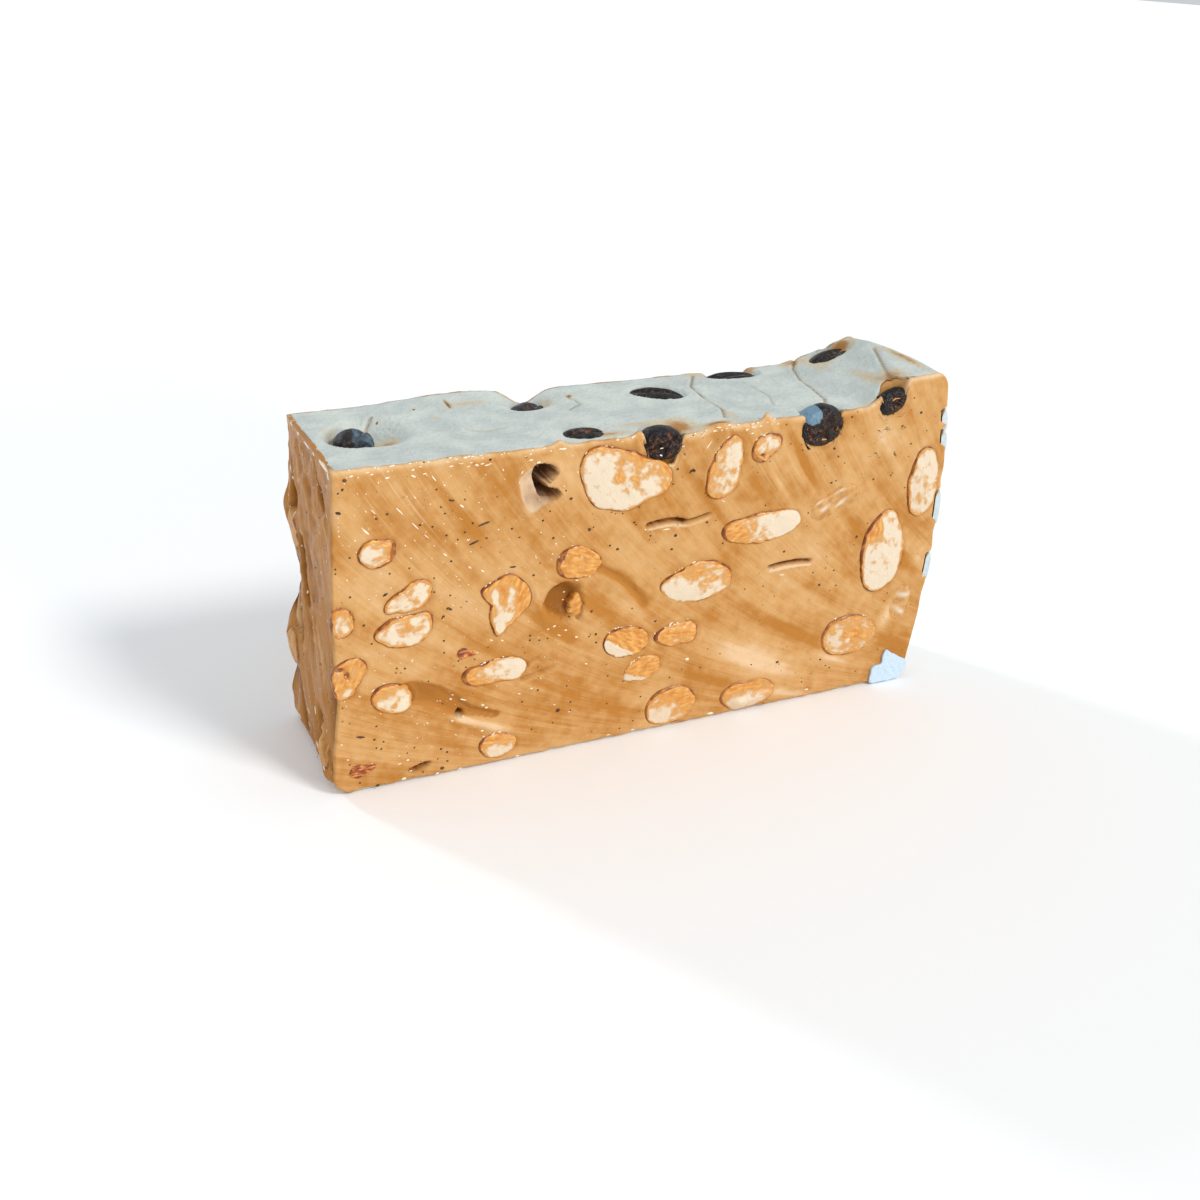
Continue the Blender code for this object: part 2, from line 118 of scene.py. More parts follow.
def reach(radii, angle):
    """Distance from the middle to an outline: a smooth closed curve through evenly turned radii."""
    radii = np.asarray(radii)
    place = np.mod(angle, 2.0 * np.pi) / (2.0 * np.pi) * len(radii)
    k = np.floor(place).astype(int)
    t = place - k
    p0, p1, p2, p3 = (radii[(k + step) % len(radii)] for step in (-1, 0, 1, 2))
    bend = t * (2 * p0 - 5 * p1 + 4 * p2 - p3 + t * (3 * p1 - p0 - 3 * p2 + p3))
    return p1 + 0.5 * t * (p2 - p0 + bend)


def streak_angle(z):
    """Slope of the drag marks below level, in degrees: flat near the foot, steep near the top."""
    return 12.0 + 50.0 * (np.clip(z, 0.0, 80.0) / 70.0) ** 0.75


def streaks(x, z, wide, long, seed):
    """Noise drawn out along the drag marks: five turned grains, blended by the local slope."""
    total, power = 0.0, 0.0
    for step, turn in enumerate((10.0, 25.0, 40.0, 55.0, 70.0)):
        weight = np.clip(1.0 - np.abs(streak_angle(z) - turn) / 15.0, 0.0, 1.0)
        c, s = heading(turn)
        total = total + weight * grain((x * s + z * c) / wide, (x * c - z * s) / long, seed + step)
        power = power + weight ** 2
    return total / np.sqrt(power)


# Coffee beans: half length, half width, half height, turn about the upright, tilt of the long
# axis, lean towards the front, in degrees; how far the middle stands behind the front cut.
BEANS = (
    (4.4, 3.8, 3.4, 42, 0, 16, None),
    (5.2, 4.0, 3.0, 40, 0, 10, None),
    (4.7, 3.2, 2.0, -8, 0, 6, None),
    (6.3, 4.2, 2.8, -35, 0, 0, None),
    (4.9, 3.6, 3.9, 0, -6, -90, 2.3),
    (7.1, 3.8, 2.7, -4, 0, 0, None),
    (5.7, 4.6, 4.1, 0, 6, -90, 2.3),
    (5.9, 4.0, 2.8, 6, 12, 0, None),
    (4.1, 2.8, 2.4, 0, 24, -90, 1.7),
)
# Beans the knife cut, and how far the paste's top drops behind each, in millimetres.
CUT_BEANS = {5: 4.2, 7: 4.2, 9: 2.6}
# How far a few beans stand off the middle of their solid, so that as much of each shows.
BEAN_SHIFTS = {1: (0.0, 0.1, 2.3), 2: (0.0, -0.9, 1.5), 3: (1.6, 0.0, 0.0), 4: (0.0, -0.2, 1.2),
               9: (1.0, 0.0, -0.6)}


def bean_middle(number):
    """Middle of a bean from its solid's box; a cut bean's lies a set way behind the front."""
    low, high = (np.array(corner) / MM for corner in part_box(f"coffee_bean_{number}"))
    half_height, inset = BEANS[number - 1][2], BEANS[number - 1][6]
    middle = (low + high) / 2.0 - (SLIDE, 0.0, 0.0)
    if inset is None:
        middle[2] = high[2] - 0.78 * half_height
    else:
        middle[1] = -HALF_DEPTH + inset
    return middle + BEAN_SHIFTS.get(number, (0.0, 0.0, 0.0))


BEAN_MIDDLES = [bean_middle(number) for number in range(1, len(BEANS) + 1)]
# Middle of the bowl round the first bean.
BOWL = (-59.4, 0.6)
# Depth of the dish that each bean presses into the wafer, and how much wider than the bean it is.
DISHES = ((0.2, 0.9), (0.6, 1.0), (1.0, 0.84), (1.5, 1.0), (1.9, 0.92), (1.6, 0.98), (1.5, 0.84),
          (1.7, 0.96), (1.6, 0.84))
# Folds in the top sheet: points along and across, depth.
FOLDS = (
    (((23.0, 15.5), (18.5, 8.0), (17.7, 0.0), (17.5, -8.0), (15.5, -12.5)), 0.42),
    (((31.5, 8.0), (32.0, -3.0), (29.5, -9.0)), 0.2),
    (((51.5, 18.0), (47.5, 12.0), (45.0, 5.0), (44.5, 0.0), (42.5, -9.0), (39.5, -14.0)), 0.5),
    (((63.3, 3.6), (59.0, -6.5), (54.2, -17.7)), 0.45),
    (((-10.5, 11.0), (-9.5, 5.0), (-13.5, 2.0)), 0.3),
    (((-56.5, 6.0), (-53.5, 10.0)), 0.4),
    (((-38.0, -3.0), (-34.5, -5.6), (-30.0, -4.6)), 0.16),
    (((-37.0, 9.5), (-37.0, 13.5)), 0.3),
)


def top_level(x, y):
    """Height of the wafer's upper side.

    Level, rising at the right end; less the hollows round the sunken beans, a dish for each bean,
    the folds, and slow waves.
    """
    back = (y + HALF_DEPTH) / (2.0 * HALF_DEPTH)
    height = TOP + 5.6 * ramp(x, 46.5 - 2.5 * back, 57.5 + 12.5 * back)
    height = height + 0.6 * ramp(x, 58.0, 67.0) * (1.0 - back)
    height = height + 1.0 * ramp(x, 57.0, 67.0) * (1.0 - (y / HALF_DEPTH) ** 2)
    height = height + 1.1 * hump(x, -34.0, 15.0) * ramp(y, 2.0, HALF_DEPTH)
    fold = -18.0 - 0.25 * (HALF_DEPTH - y)
    height = height - 3.2 * hump(x, fold, 4.2) * ramp(y, 3.0, 11.0)
    height = height - 1.1 * hump(x, 3.5, 7.0) * (1.0 - ramp(y, -HALF_DEPTH, -7.0))
    around = np.arctan2(y - BOWL[1], x - BOWL[0])
    bowl = np.hypot((x - BOWL[0]) / 6.0, (y - BOWL[1]) / 6.2)
    gentle = 0.12 + 0.8 * ramp(np.cos(around - 0.3), -0.4, 1.0)
    height = height - 3.3 * (1.0 - ramp(bowl, 0.8, 1.05 + gentle))
    for middle, row, (depth, spread) in zip(BEAN_MIDDLES, BEANS, DISHES):
        across = row[1] if row[6] is None else row[2]
        c, s = heading(row[3])
        u, v = x - middle[0], y - middle[1]
        far = np.hypot((u * c + v * s) / (spread * row[0]), (v * c - u * s) / (spread * across))
        far = far + 0.06 * grain(x / 1.3, y / 1.3, 13)
        height = height - depth * (1.0 - ramp(far, 0.8, 1.12))
    for path, depth in FOLDS:
        height = height - depth * stroke(x, y, path, 0.42)
        height = height + 0.4 * depth * stroke(x + 0.9, y, path, 0.9)
    return height + 0.1 * rough(x, y, 9.0, 11) + 0.035 * rough(x, y, 1.7, 17, 2)


def left_line(y, z):
    """Where the left cut lies: leaning in towards the top, torn and grooved.

    The lean, less lumps and plus a hollow near the back edge, plus grooves that run down it,
    plus a chipped edge low at the front.
    """
    back = ramp(y, 6.0, 16.0)
    line = LEFT_FOOT + LEFT_LEAN * z / TOP + 1.9 * hump(z, 37.0, 6.5) * ramp(y, 7.0, 17.0)
    line = line - (0.9 * hump(z, 51.0, 3.6) + 1.0 * hump(z, 21.0, 4.6)) * back
    line = line + 1.0 * hump(z, 13.5, 2.6) * ramp(y, 8.0, 16.0)
    across = y - 0.5 * z
    grooves = 0.35 * grain(across / 2.8, z / 16.0, 31) + 0.14 * grain(across / 1.3, z / 9.0, 32)
    grooves = grooves + 0.9 * hump(grain(across / 7.0, z / 40.0, 33), 0.12, 0.09)
    torn = 0.5 * rough(y, z, 5.0, 34) * ramp(rough(y, z, 16.0, 38, 1), -0.4, 0.4)
    edge = 0.12 + 0.88 * ramp(y, -15.5, -11.5)
    line = line + (grooves + torn) * edge * (1.0 - ramp(z, 67.0, 70.0))
    pit = np.hypot((y - 12.0) / 2.6, (z - 54.5 - 0.5 * (y - 12.0)) / 5.0)
    line = line + 2.4 * (1.0 - ramp(pit, 0.3, 1.0))
    trough = stroke(y, z, ((7.5, 47.0), (5.0, 40.0), (2.0, 35.0)), 1.0)
    trough = trough + 0.8 * stroke(y, z, ((12.5, 40.0), (8.5, 32.0), (7.5, 24.0)), 1.1)
    trough = trough + 0.9 * stroke(y, z, ((11.0, 14.0), (7.0, 7.0), (5.0, 4.0)), 1.2)
    line = line + 1.3 * trough
    line = line + 0.9 * hump(z, 21.0, 8.0) * (1.0 - ramp(y, -17.5, -13.5))
    flake = np.hypot((y + 12.2) / 4.2, (z - 6.0 - 0.5 * (y + 12.0)) / 4.6)
    line = line - 0.45 * (1.0 - ramp(flake, 0.75, 1.0)) + 0.3 * hump(flake, 1.05, 0.12)
    return line + 0.14 * grain(z / 2.2, y / 40.0, 36) * (1.0 - ramp(y, -17.5, -15.0))


# Heights where the paste was not smeared over the wafer's edge at the right end.
SLIVERS = ((64.8, 68.0), (59.6, 63.2), (41.5, 48.5), (27.5, 33.0))


def smeared_over(z):
    """1 where the paste hides the wafer's edge at the right end, 0 where a sliver shows."""
    cover = np.ones(np.shape(z))
    for low, high in SLIVERS:
        cover = cover - ramp(z, low - 0.7, low + 0.4) * (1.0 - ramp(z, high - 0.4, high + 0.7))
    return cover


def right_line(y, z, wafer_side=False):
    """Where the right end lies: swelling at half height, with shallow dents down its front edge."""
    line = RIGHT_EDGE + RIGHT_BULGE * np.sin(np.pi * np.clip((z - 2.0) / 76.0, 0.0, 1.0))
    dents = 0.55 * hump(z, 38.0, 2.6) + 0.4 * hump(z, 51.0, 2.0) + 0.35 * hump(z, 22.0, 3.0)
    line = line - dents * (1.0 - ramp(y, -17.5, -12.0)) + 0.12 * rough(y, z, 11.0, 41)
    if wafer_side:
        return line
    rim = 0.5 * smeared_over(z) * (1.0 - ramp(y, -17.0, -16.2))
    turned_in = 1.1 * (1.0 - smeared_over(z)) * (1.0 - ramp(y, -17.2, -15.8))
    return line - WAFER - 0.05 + rim - turned_in


def rim_width(x):
    """Width of the nougat rim in front of the wafer's top edge, in millimetres."""
    return 0.45 + 0.35 * np.abs(rough(x, x * 0.3, 5.0, 51)) + 0.8 * hump(x, 13.0, 3.0)


# Small lumps of paste that the knife pushed up over the top edge: along, height, half width.
BURRS = ((-23.8, 0.9, 1.2), (-6.6, 1.1, 1.3), (22.9, 1.6, 1.0), (54.6, 1.3, 1.6), (46.0, 0.3, 1.5),
         (11.0, 0.5, 3.0), (-46.0, 0.2, 1.2))


def nougat_top(x, y):
    """Height of the paste: under the wafer, and level with it or above in a rim along each cut."""
    width = rim_width(x)
    near = 1.0 - ramp(y, -HALF_DEPTH + width - 0.15, -HALF_DEPTH + width + 0.3)
    burr = sum(height * hump(x, middle, half) for middle, height, half in BURRS)
    burr_near = 1.0 - ramp(y, -16.9, -15.6)
    far = ramp(y, HALF_DEPTH - 0.9, HALF_DEPTH - 0.5)
    left = 1.0 - ramp(x - LEFT_FOOT - LEFT_LEAN, 1.0 + 0.3 * grain(y / 2.0, y * 0.0, 53), 1.5)
    lift = 0.62 + 0.14 * rough(x, y, 2.4, 55, 2)
    rim = np.maximum(np.maximum(near, far), left) * lift
    smooth = top_level(x, np.clip(y, -16.6, 16.6))
    return smooth - WAFER - 0.1 + rim + burr * burr_near


def bean_seats(x, y):
    """How far the paste's top drops behind the beans the knife cut, in millimetres."""
    drop = np.zeros(np.shape(x))
    for number, deep in CUT_BEANS.items():
        middle, row = BEAN_MIDDLES[number - 1], BEANS[number - 1]
        far = np.hypot((x - middle[0]) / row[0], (y + HALF_DEPTH) / 4.4)
        drop = drop + deep * (1.0 - ramp(far, 0.5, 0.86))
    return drop


# Middle of the air hole, and how far its rim lies every 15 degrees from the right.
AIR_HOLE = (-28.2, 61.8)
AIR_HOLE_REACH = (1.7, 1.9, 4.7, 5.3, 5.3, 5.1, 5.0, 4.8, 4.6, 4.6, 4.8, 4.2,
                  3.9, 3.9, 4.1, 4.4, 5.0, 5.4, 4.8, 4.0, 4.0, 4.2, 4.7, 4.8)


def arc(start, bend, end):
    """Nine points of the curve that starts and ends at two points and is drawn to a third."""
    steps = np.linspace(0.0, 1.0, 9)[:, None]
    start, bend, end = (np.array(point) for point in (start, bend, end))
    return (1.0 - steps) ** 2 * start + 2.0 * steps * (1.0 - steps) * bend + steps ** 2 * end


# A hollow where the knife dragged a nut away, and a groove drawn out from another nut's tip.
DRAG = ((-55.5, 21.3), (-50.0, 19.6), (-46.4, 16.9), (-43.0, 14.6), (-37.0, 12.3))
GROOVE = arc((-14.6, 42.4), (-8.0, 39.5), (-3.6, 32.6))
# Soft grooves (+) and ridges (-) in the front cut: path, half width, depth.
KNIFE_MARKS = (
    (GROOVE, 0.8, 0.7), (((-19.0, 33.0), (-12.0, 29.0), (-5.0, 27.5)), 1.4, -0.3),
    (((4.0, 66.8), (8.5, 69.3), (12.0, 70.5)), 0.8, -0.35),
    (((9.0, 58.0), (9.6, 64.0), (13.0, 68.0)), 0.9, -0.4),
    (arc((22.0, 2.6), (30.0, 4.6), (42.0, 3.6)), 1.1, -0.5),
    (arc((41.0, 9.0), (46.0, 10.2), (52.0, 8.6)), 0.9, -0.35),
)


def drag_width(x):
    """Half width of the drag hollow, narrowing to the right, in millimetres."""
    return 2.7 - 1.9 * ramp(x, -50.0, -39.0) + 0.25 * grain(x / 1.7, x * 0.0, 59)


def front_waves(x, z):
    """The lie of the front cut, in millimetres into the bar: slow waves and drawn-out drag marks."""
    waves = 0.16 * rough(x, z, 21.0, 61, 2) + 0.13 * streaks(x, z, 4.2, 34.0, 64)
    waves = waves + 0.06 * streaks(x, z, 1.5, 16.0, 70) + 0.05 * rough(x, z, 2.6, 74, 2)
    waves = waves + 0.75 * (1.0 - ramp(off_path(x, z, DRAG) / drag_width(x), 0.55, 1.05))
    for path, width, depth in KNIFE_MARKS:
        waves = waves + depth * stroke(x, z, path, width)
    return waves


def bubble_depths(x, z):
    """1 in the deep right part of the burst bubble, 0 on the pale shelf at its left and foot."""
    left = ramp(x + 0.3 * (z - 62.0) + 0.3 * hump(z, 62.4, 1.3), -28.3, -27.5)
    return left * ramp(z + 0.2 * (x + 28.0), 59.0, 59.9)


# Slits where the paste folded over: path, depth, half width, how pale the lip below it is painted
# (painted light on the lip's upper face).
SLITS = (
    (arc((-3.3, 50.2), (0.8, 51.2), (5.0, 50.0)), 2.6, 0.42, 1.0),
    (arc((5.0, 49.9), (7.5, 49.9), (10.8, 50.9)), 1.3, 0.28, 0.5),
    (arc((27.2, 35.9), (32.0, 36.6), (37.4, 35.9)), 2.2, 0.36, 1.0),
    (arc((-31.2, 19.4), (-27.0, 20.2), (-24.0, 21.0)), 0.7, 0.35, 0.2),
    (arc((-30.0, 22.6), (-29.0, 23.4), (-27.5, 23.8)), 0.6, 0.35, 0.2),
)


def slit_lips(x, z):
    """Height 1 along the lip below each slit."""
    return sum(pale * stroke(x, z, path - (0.0, 0.9), 0.3) for path, _, _, pale in SLITS)


def off_hole(x, z):
    """Distance from the middle of the air hole, as a share of the way to its rim."""
    du, dv = x - AIR_HOLE[0], z - AIR_HOLE[1]
    return np.hypot(du, dv) / reach(AIR_HOLE_REACH, np.arctan2(dv, du))


def front_pits(x, z):
    """Pits and tears in the front cut: bubble, lost almond, slits with a lip below, torn holes."""
    inside = off_hole(x, z)
    deep = bubble_depths(x, z)
    floor = 2.0 + 6.0 * deep + 0.5 * rough(x, z, 2.6, 77, 2)
    pit = floor * (1.0 - ramp(inside, 0.4 + 0.48 * deep, 1.0)) - 0.3 * hump(inside, 1.1, 0.1)
    lost = np.hypot((x + 22.2) / 5.0, (z - 36.2) / 4.8) + 0.1 * rough(x, z, 2.4, 79, 2)
    pit = pit + 2.7 * (1.0 - ramp(lost, 0.45, 1.0)) - 0.2 * hump(lost, 1.12, 0.14)
    pit = pit + 0.6 * np.exp(-((x + 14.5) / 4.0) ** 2 - ((z - 36.0) / 2.6) ** 2)
    for path, depth, wide, _ in SLITS:
        pit = pit + depth * stroke(x, z, path, wide)
    pit = pit - 0.35 * slit_lips(x, z)
    notch = np.hypot((x + 53.6) / 2.5, (z - 3.2 - 0.25 * (x + 53.6)) / 0.85)
    pit = pit + 2.6 * (1.0 - ramp(notch, 0.5, 1.05))
    pit = pit + 0.7 * stroke(x, z, ((-58.0, 2.0), (-55.0, 2.9)), 0.5)
    black = np.hypot((x + 44.9) / 1.0, (z - 14.0) / 0.7)
    pit = pit + 3.0 * (1.0 - ramp(black, 0.4, 1.1))
    ledge = stroke(x, z, ((-45.6, 12.8), (-40.0, 10.6), (-34.5, 8.2)), 0.8)
    return pit - 0.4 * ledge


def back_waves(x, z):
    """The lie of the back cut, in millimetres into the bar, by the same rule as the front."""
    return (0.18 * rough(x, z, 21.0, 81, 2) + 0.14 * streaks(-x, z, 4.2, 34.0, 84)
            + 0.06 * streaks(-x, z, 1.5, 16.0, 90))


# Almonds cut on the front. Radii of the outline every 30 or 15 degrees from the right, turning
# upwards; slope of the grain in degrees; browning at the middle, how it grows and towards which
# side; how far paste is smeared over it; thick places of the skin (towards, spread, width).
FRONT_ALMONDS = (
    ((3.75, 4.05, 3.0, 2.8, 3.1, 3.5, 3.65, 3.4, 3.3, 3.05, 3.05, 3.6), 10,
     (0.3, 0.3, 20), 0.0, ((0, 42, 1.35), (300, 45, 0.7))),
    ((5.1, 4.95, 3.35, 2.05, 1.6, 1.9, 3.15, 5.4, 3.9, 3.55, 3.7, 4.3), 24,
     (0.28, 0.1, 120), 0.0, ((270, 60, 0.3),)),
    ((5.6, 6.3, 4.2, 3.55, 4.0, 4.9, 6.1, 4.6, 3.5, 3.4, 3.6, 4.5), 5,
     (0.25, 0.15, 100), 0.0, ((152, 26, 0.95), (25, 24, 0.6))),
    ((1.75, 1.9, 2.3, 2.6, 3.3, 2.9, 2.6, 2.9, 3.6, 3.3, 2.6, 1.95), 75,
     (0.4, 0.1, 200), 0.0, ((20, 60, 0.4),)),
    ((2.7, 4.3, 5.1, 4.6, 4.5, 3.8, 3.3, 3.6, 4.4, 3.7, 2.6, 2.3), 60,
     (0.8, 0.2, 20), 0.1, ((60, 60, 0.3), (330, 50, 0.4))),
    ((4.45, 3.8, 3.3, 3.35, 3.85, 4.2, 4.0, 3.45, 3.15, 3.4, 4.1, 4.7), -22,
     (0.3, 0.35, 120), 0.0, ((120, 70, 0.6),)),
    ((5.3, 5.4, 5.45, 5.6, 5.7, 6.1, 6.3, 6.2, 5.9, 6.2, 6.5, 4.7,
      3.45, 3.7, 4.3, 5.0, 6.2, 7.6, 5.6, 4.8, 4.3, 4.2, 4.5, 5.0), 62,
     (0.75, 0.35, 60), 0.0, ((150, 30, 0.6), (80, 40, 0.4))),
    ((7.1, 6.2, 5.0, 3.8, 3.2, 2.8, 2.7, 2.6, 2.7, 2.9, 3.7, 5.9,
      6.95, 6.5, 5.2, 3.9, 3.2, 2.8, 2.7, 2.8, 3.15, 4.0, 5.5, 6.6), -2,
     (0.3, 0.35, 180), 0.0, ((180, 40, 1.0),)),
    ((3.9, 3.5, 3.1, 2.9, 3.2, 4.0, 4.25, 3.9, 3.5, 3.35, 3.4, 3.7), -4,
     (0.45, 0.8, 85), 0.1, ((140, 60, 0.6),)),
    ((4.8, 3.8, 3.3, 3.5, 4.1, 4.8, 4.9, 4.6, 3.8, 3.5, 4.0, 5.0), -16,
     (0.95, 0.1, 0), 0.0, ((158, 24, 1.4), (200, 22, 1.0), (250, 40, 0.5))),
    ((1.5, 2.4, 2.1, 3.2, 2.0, 1.9, 1.2, 2.0, 1.9, 3.1, 2.0, 2.1), 30,
     (1.3, 0.3, 200), 0.1, ()),
    ((10.3, 8.4, 6.2, 5.5, 5.3, 5.5, 5.7, 6.3, 7.6, 9.9, 11.1, 10.8,
      9.8, 9.3, 9.2, 8.7, 7.9, 7.6, 7.55, 7.5, 7.2, 7.6, 9.3, 10.7), -55,
     (0.3, 0.45, 55), 0.0, ((70, 60, 0.5),)),
    ((4.0, 4.2, 4.6, 5.5, 6.5, 7.0, 6.1, 5.2, 4.5, 3.8, 3.4, 3.5,
      3.9, 4.3, 4.8, 5.8, 7.0, 7.25, 7.05, 6.4, 5.5, 4.6, 4.15, 4.0), 74,
     (0.32, 0.1, 180), 0.0, ((200, 60, 0.45),)),
    ((3.05, 3.6, 3.3, 2.95, 3.05, 3.4, 3.5, 3.9, 3.5, 3.0, 2.2, 2.4), 36,
     (0.35, 0.3, 220), 0.0, ((40, 60, 0.7), (225, 40, 1.1))),
    ((10.0, 9.4, 6.7, 4.9, 4.0, 3.6, 3.45, 3.55, 3.85, 4.4, 5.4, 8.2,
      9.3, 8.0, 5.7, 4.6, 4.0, 3.7, 3.6, 3.7, 3.9, 4.6, 5.8, 8.0), 20,
     (0.3, 0.4, 180), 0.0, ((180, 25, 0.8),)),
    ((6.4, 6.2, 4.3, 2.6, 2.3, 2.9, 5.4, 6.4, 4.3, 2.6, 2.3, 2.9), 22,
     (0.3, 0.0, 0), 1.0, ((118, 62, 0.35), (60, 30, 0.3))),
    ((8.9, 8.4, 7.0, 6.1, 5.3, 4.8, 4.6, 4.5, 4.6, 4.8, 5.5, 7.2,
      8.4, 7.5, 6.5, 6.0, 5.4, 5.1, 4.9, 5.1, 5.5, 6.0, 7.1, 8.6), 10,
     (0.3, 0.5, 80), 0.0, ((20, 40, 0.6),)),
    ((5.3, 4.5, 3.8, 3.55, 4.1, 5.0, 5.3, 4.7, 4.1, 3.8, 4.0, 5.1), -30,
     (1.0, 0.0, 0), 0.0, ((180, 40, 0.4),)),
    ((4.95, 4.6, 3.4, 2.75, 3.0, 3.9, 5.7, 4.2, 3.1, 2.8, 3.05, 4.6), -5,
     (0.95, 0.15, 90), 0.0, ((0, 80, 0.6), (180, 40, 0.9))),
    ((4.4, 4.7, 3.6, 3.2, 2.75, 3.1, 3.9, 4.2, 2.8, 2.7, 2.95, 3.5), 8,
     (1.0, 0.0, 0), 0.1, ()),
    ((5.9, 5.5, 5.0, 4.5, 4.7, 5.5, 6.2, 6.4, 5.5, 4.9, 4.9, 5.4), 8,
     (0.55, 0.5, 50), 0.12, ((130, 90, 0.8),)),
    ((7.0, 5.2, 3.7, 3.3, 3.7, 5.2, 7.0, 6.0, 4.6, 4.0, 4.4, 5.8), -6,
     (0.55, 0.8, 95), 0.3, ((100, 60, 0.9), (180, 40, 0.7))),
    ((7.1, 6.0, 5.2, 5.4, 5.85, 7.3, 7.6, 7.0, 5.4, 5.0, 5.4, 6.9), -18,
     (0.5, 0.1, 0), 0.2, ((130, 70, 0.9), (200, 40, 0.6))),
    ((5.8, 5.7, 5.8, 6.3, 7.2, 9.1, 9.9, 8.9, 8.0, 7.2, 6.4, 5.9,
      5.7, 5.8, 6.1, 7.1, 8.6, 10.2, 10.8, 9.9, 8.8, 7.3, 6.5, 6.0), 94,
     (0.12, 0.1, 120), 0.0, ((165, 50, 0.7), (120, 30, 0.9))),
    ((4.1, 4.2, 4.5, 5.0, 5.8, 7.3, 8.2, 7.6, 6.0, 4.9, 4.2, 4.0,
      3.9, 4.0, 4.2, 4.9, 6.0, 7.8, 8.6, 8.2, 6.9, 5.6, 4.8, 4.3), 92,
     (0.2, 0.1, 200), 0.05, ((130, 40, 0.7),)),
    ((2.6, 3.4, 4.3, 4.4, 3.2, 2.4, 2.3, 2.8, 3.8, 4.4, 3.6, 2.6), 64,
     (0.2, 0.0, 200), 1.0, ()),
)
# A browner or paler patch on an almond's face: almond, right, up, half width, half height, browning.
FACE_PATCHES = (
    (3, -2.6, 0.5, 1.0, 1.4, -0.35), (3, 0.5, 1.0, 0.5, 2.0, 0.4),
    (7, -2.7, 2.0, 0.9, 2.2, -0.9), (7, 0.8, 1.6, 1.0, 2.8, -0.8), (7, -1.2, -3.2, 1.6, 1.8, -0.8),
    (5, -1.4, -1.0, 1.0, 0.8, 0.7), (5, -0.6, -2.6, 1.2, 1.2, -0.8), (5, 1.6, 1.6, 1.4, 1.4, -0.3),
    (9, 0.0, 1.8, 3.0, 1.0, 0.5),
    (12, -4.6, 3.6, 1.6, 2.2, -0.5), (12, -1.6, 0.2, 1.0, 1.0, 0.6), (12, 1.2, -0.4, 1.6, 0.5, 0.45),
    (12, 2.4, 4.2, 3.5, 0.8, 0.45), (12, 4.8, 1.0, 1.2, 2.2, -0.3), (12, -3.0, 2.4, 0.5, 2.0, 0.4),
    (15, -5.4, -0.4, 1.5, 1.8, 0.35), (15, -1.6, 0.6, 0.5, 1.6, 0.3),
    (17, -0.4, 1.8, 2.0, 1.1, 0.5), (17, 4.6, 0.2, 1.1, 0.6, 0.5), (17, 2.0, -2.0, 0.9, 1.2, 0.4),
    (17, -4.0, -2.6, 3.6, 1.6, -0.5),
    (24, -3.4, 4.4, 1.6, 2.2, 0.75), (24, -2.2, 6.4, 0.8, 2.0, 0.8), (24, -1.2, 5.0, 0.4, 2.0, 0.5),
    (25, 1.0, -1.0, 2.2, 0.5, 0.2), (16, -2.2, -0.7, 2.0, 1.0, -0.4), (16, 1.6, 0.5, 2.0, 0.9, -0.4),
    (21, 1.6, 2.2, 2.2, 1.5, 0.6), (21, -2.6, -2.4, 1.8, 1.3, -0.5), (21, 0.0, 0.2, 1.6, 1.0, -0.2),
    (22, -1.5, -1.8, 2.6, 1.0, -0.5), (23, 0.4, 0.2, 2.2, 1.5, 0.7), (23, -3.6, -0.2, 1.1, 2.2, -0.5),
    (23, -0.6, -1.2, 0.7, 0.6, -0.9), (10, 0.4, 0.4, 0.5, 2.6, -0.5), (10, 2.2, 0.0, 0.5, 2.0, -0.3),
    (19, 0.5, -1.2, 3.0, 0.6, -0.5), (1, -0.6, 1.5, 1.2, 0.5, 0.4), (6, 0.5, -1.5, 0.8, 0.8, 0.3),
)
# Holes in a nut's face: almond, right, up, half width, half height, depth.
DENTS = ((5, -1.8, 2.7, 1.2, 0.7, 0.7), (5, -0.5, 1.3, 0.8, 1.3, 0.6),
         (10, -3.6, 1.4, 0.6, 0.9, 0.6), (14, -1.2, -1.6, 0.7, 0.6, 0.7))
# Where a smeared nut shows through the paste: almond, right, up, half width, half height, slope.
WIPED = ((16, -2.4, -1.2, 1.4, 0.5, 30), (16, 1.9, -0.4, 1.7, 0.5, 35), (16, -3.4, 1.0, 2.6, 0.35, 38),
         (16, 1.4, 2.5, 4.6, 0.3, 22), (26, 1.6, 1.6, 0.7, 3.4, 80), (26, 0.4, -2.4, 0.6, 2.2, 55),
         (22, -1.5, 1.6, 4.0, 1.0, 0), (22, 0.5, -1.6, 3.0, 0.9, 5), (23, 0.4, 0.2, 3.0, 2.0, 0))
# A second cut across the face: almond, towards, how far from the middle, slope, browning change.
BEVELS = ((18, 236, 1.5, 0.08, -1.3), (20, 250, 1.5, 0.12, -1.3), (19, 90, 0.4, 0.2, -0.2),
          (17, 250, 1.4, 0.14, 0.0), (12, 235, 2.4, 0.06, 0.0), (9, 80, 0.2, 0.2, 0.0))

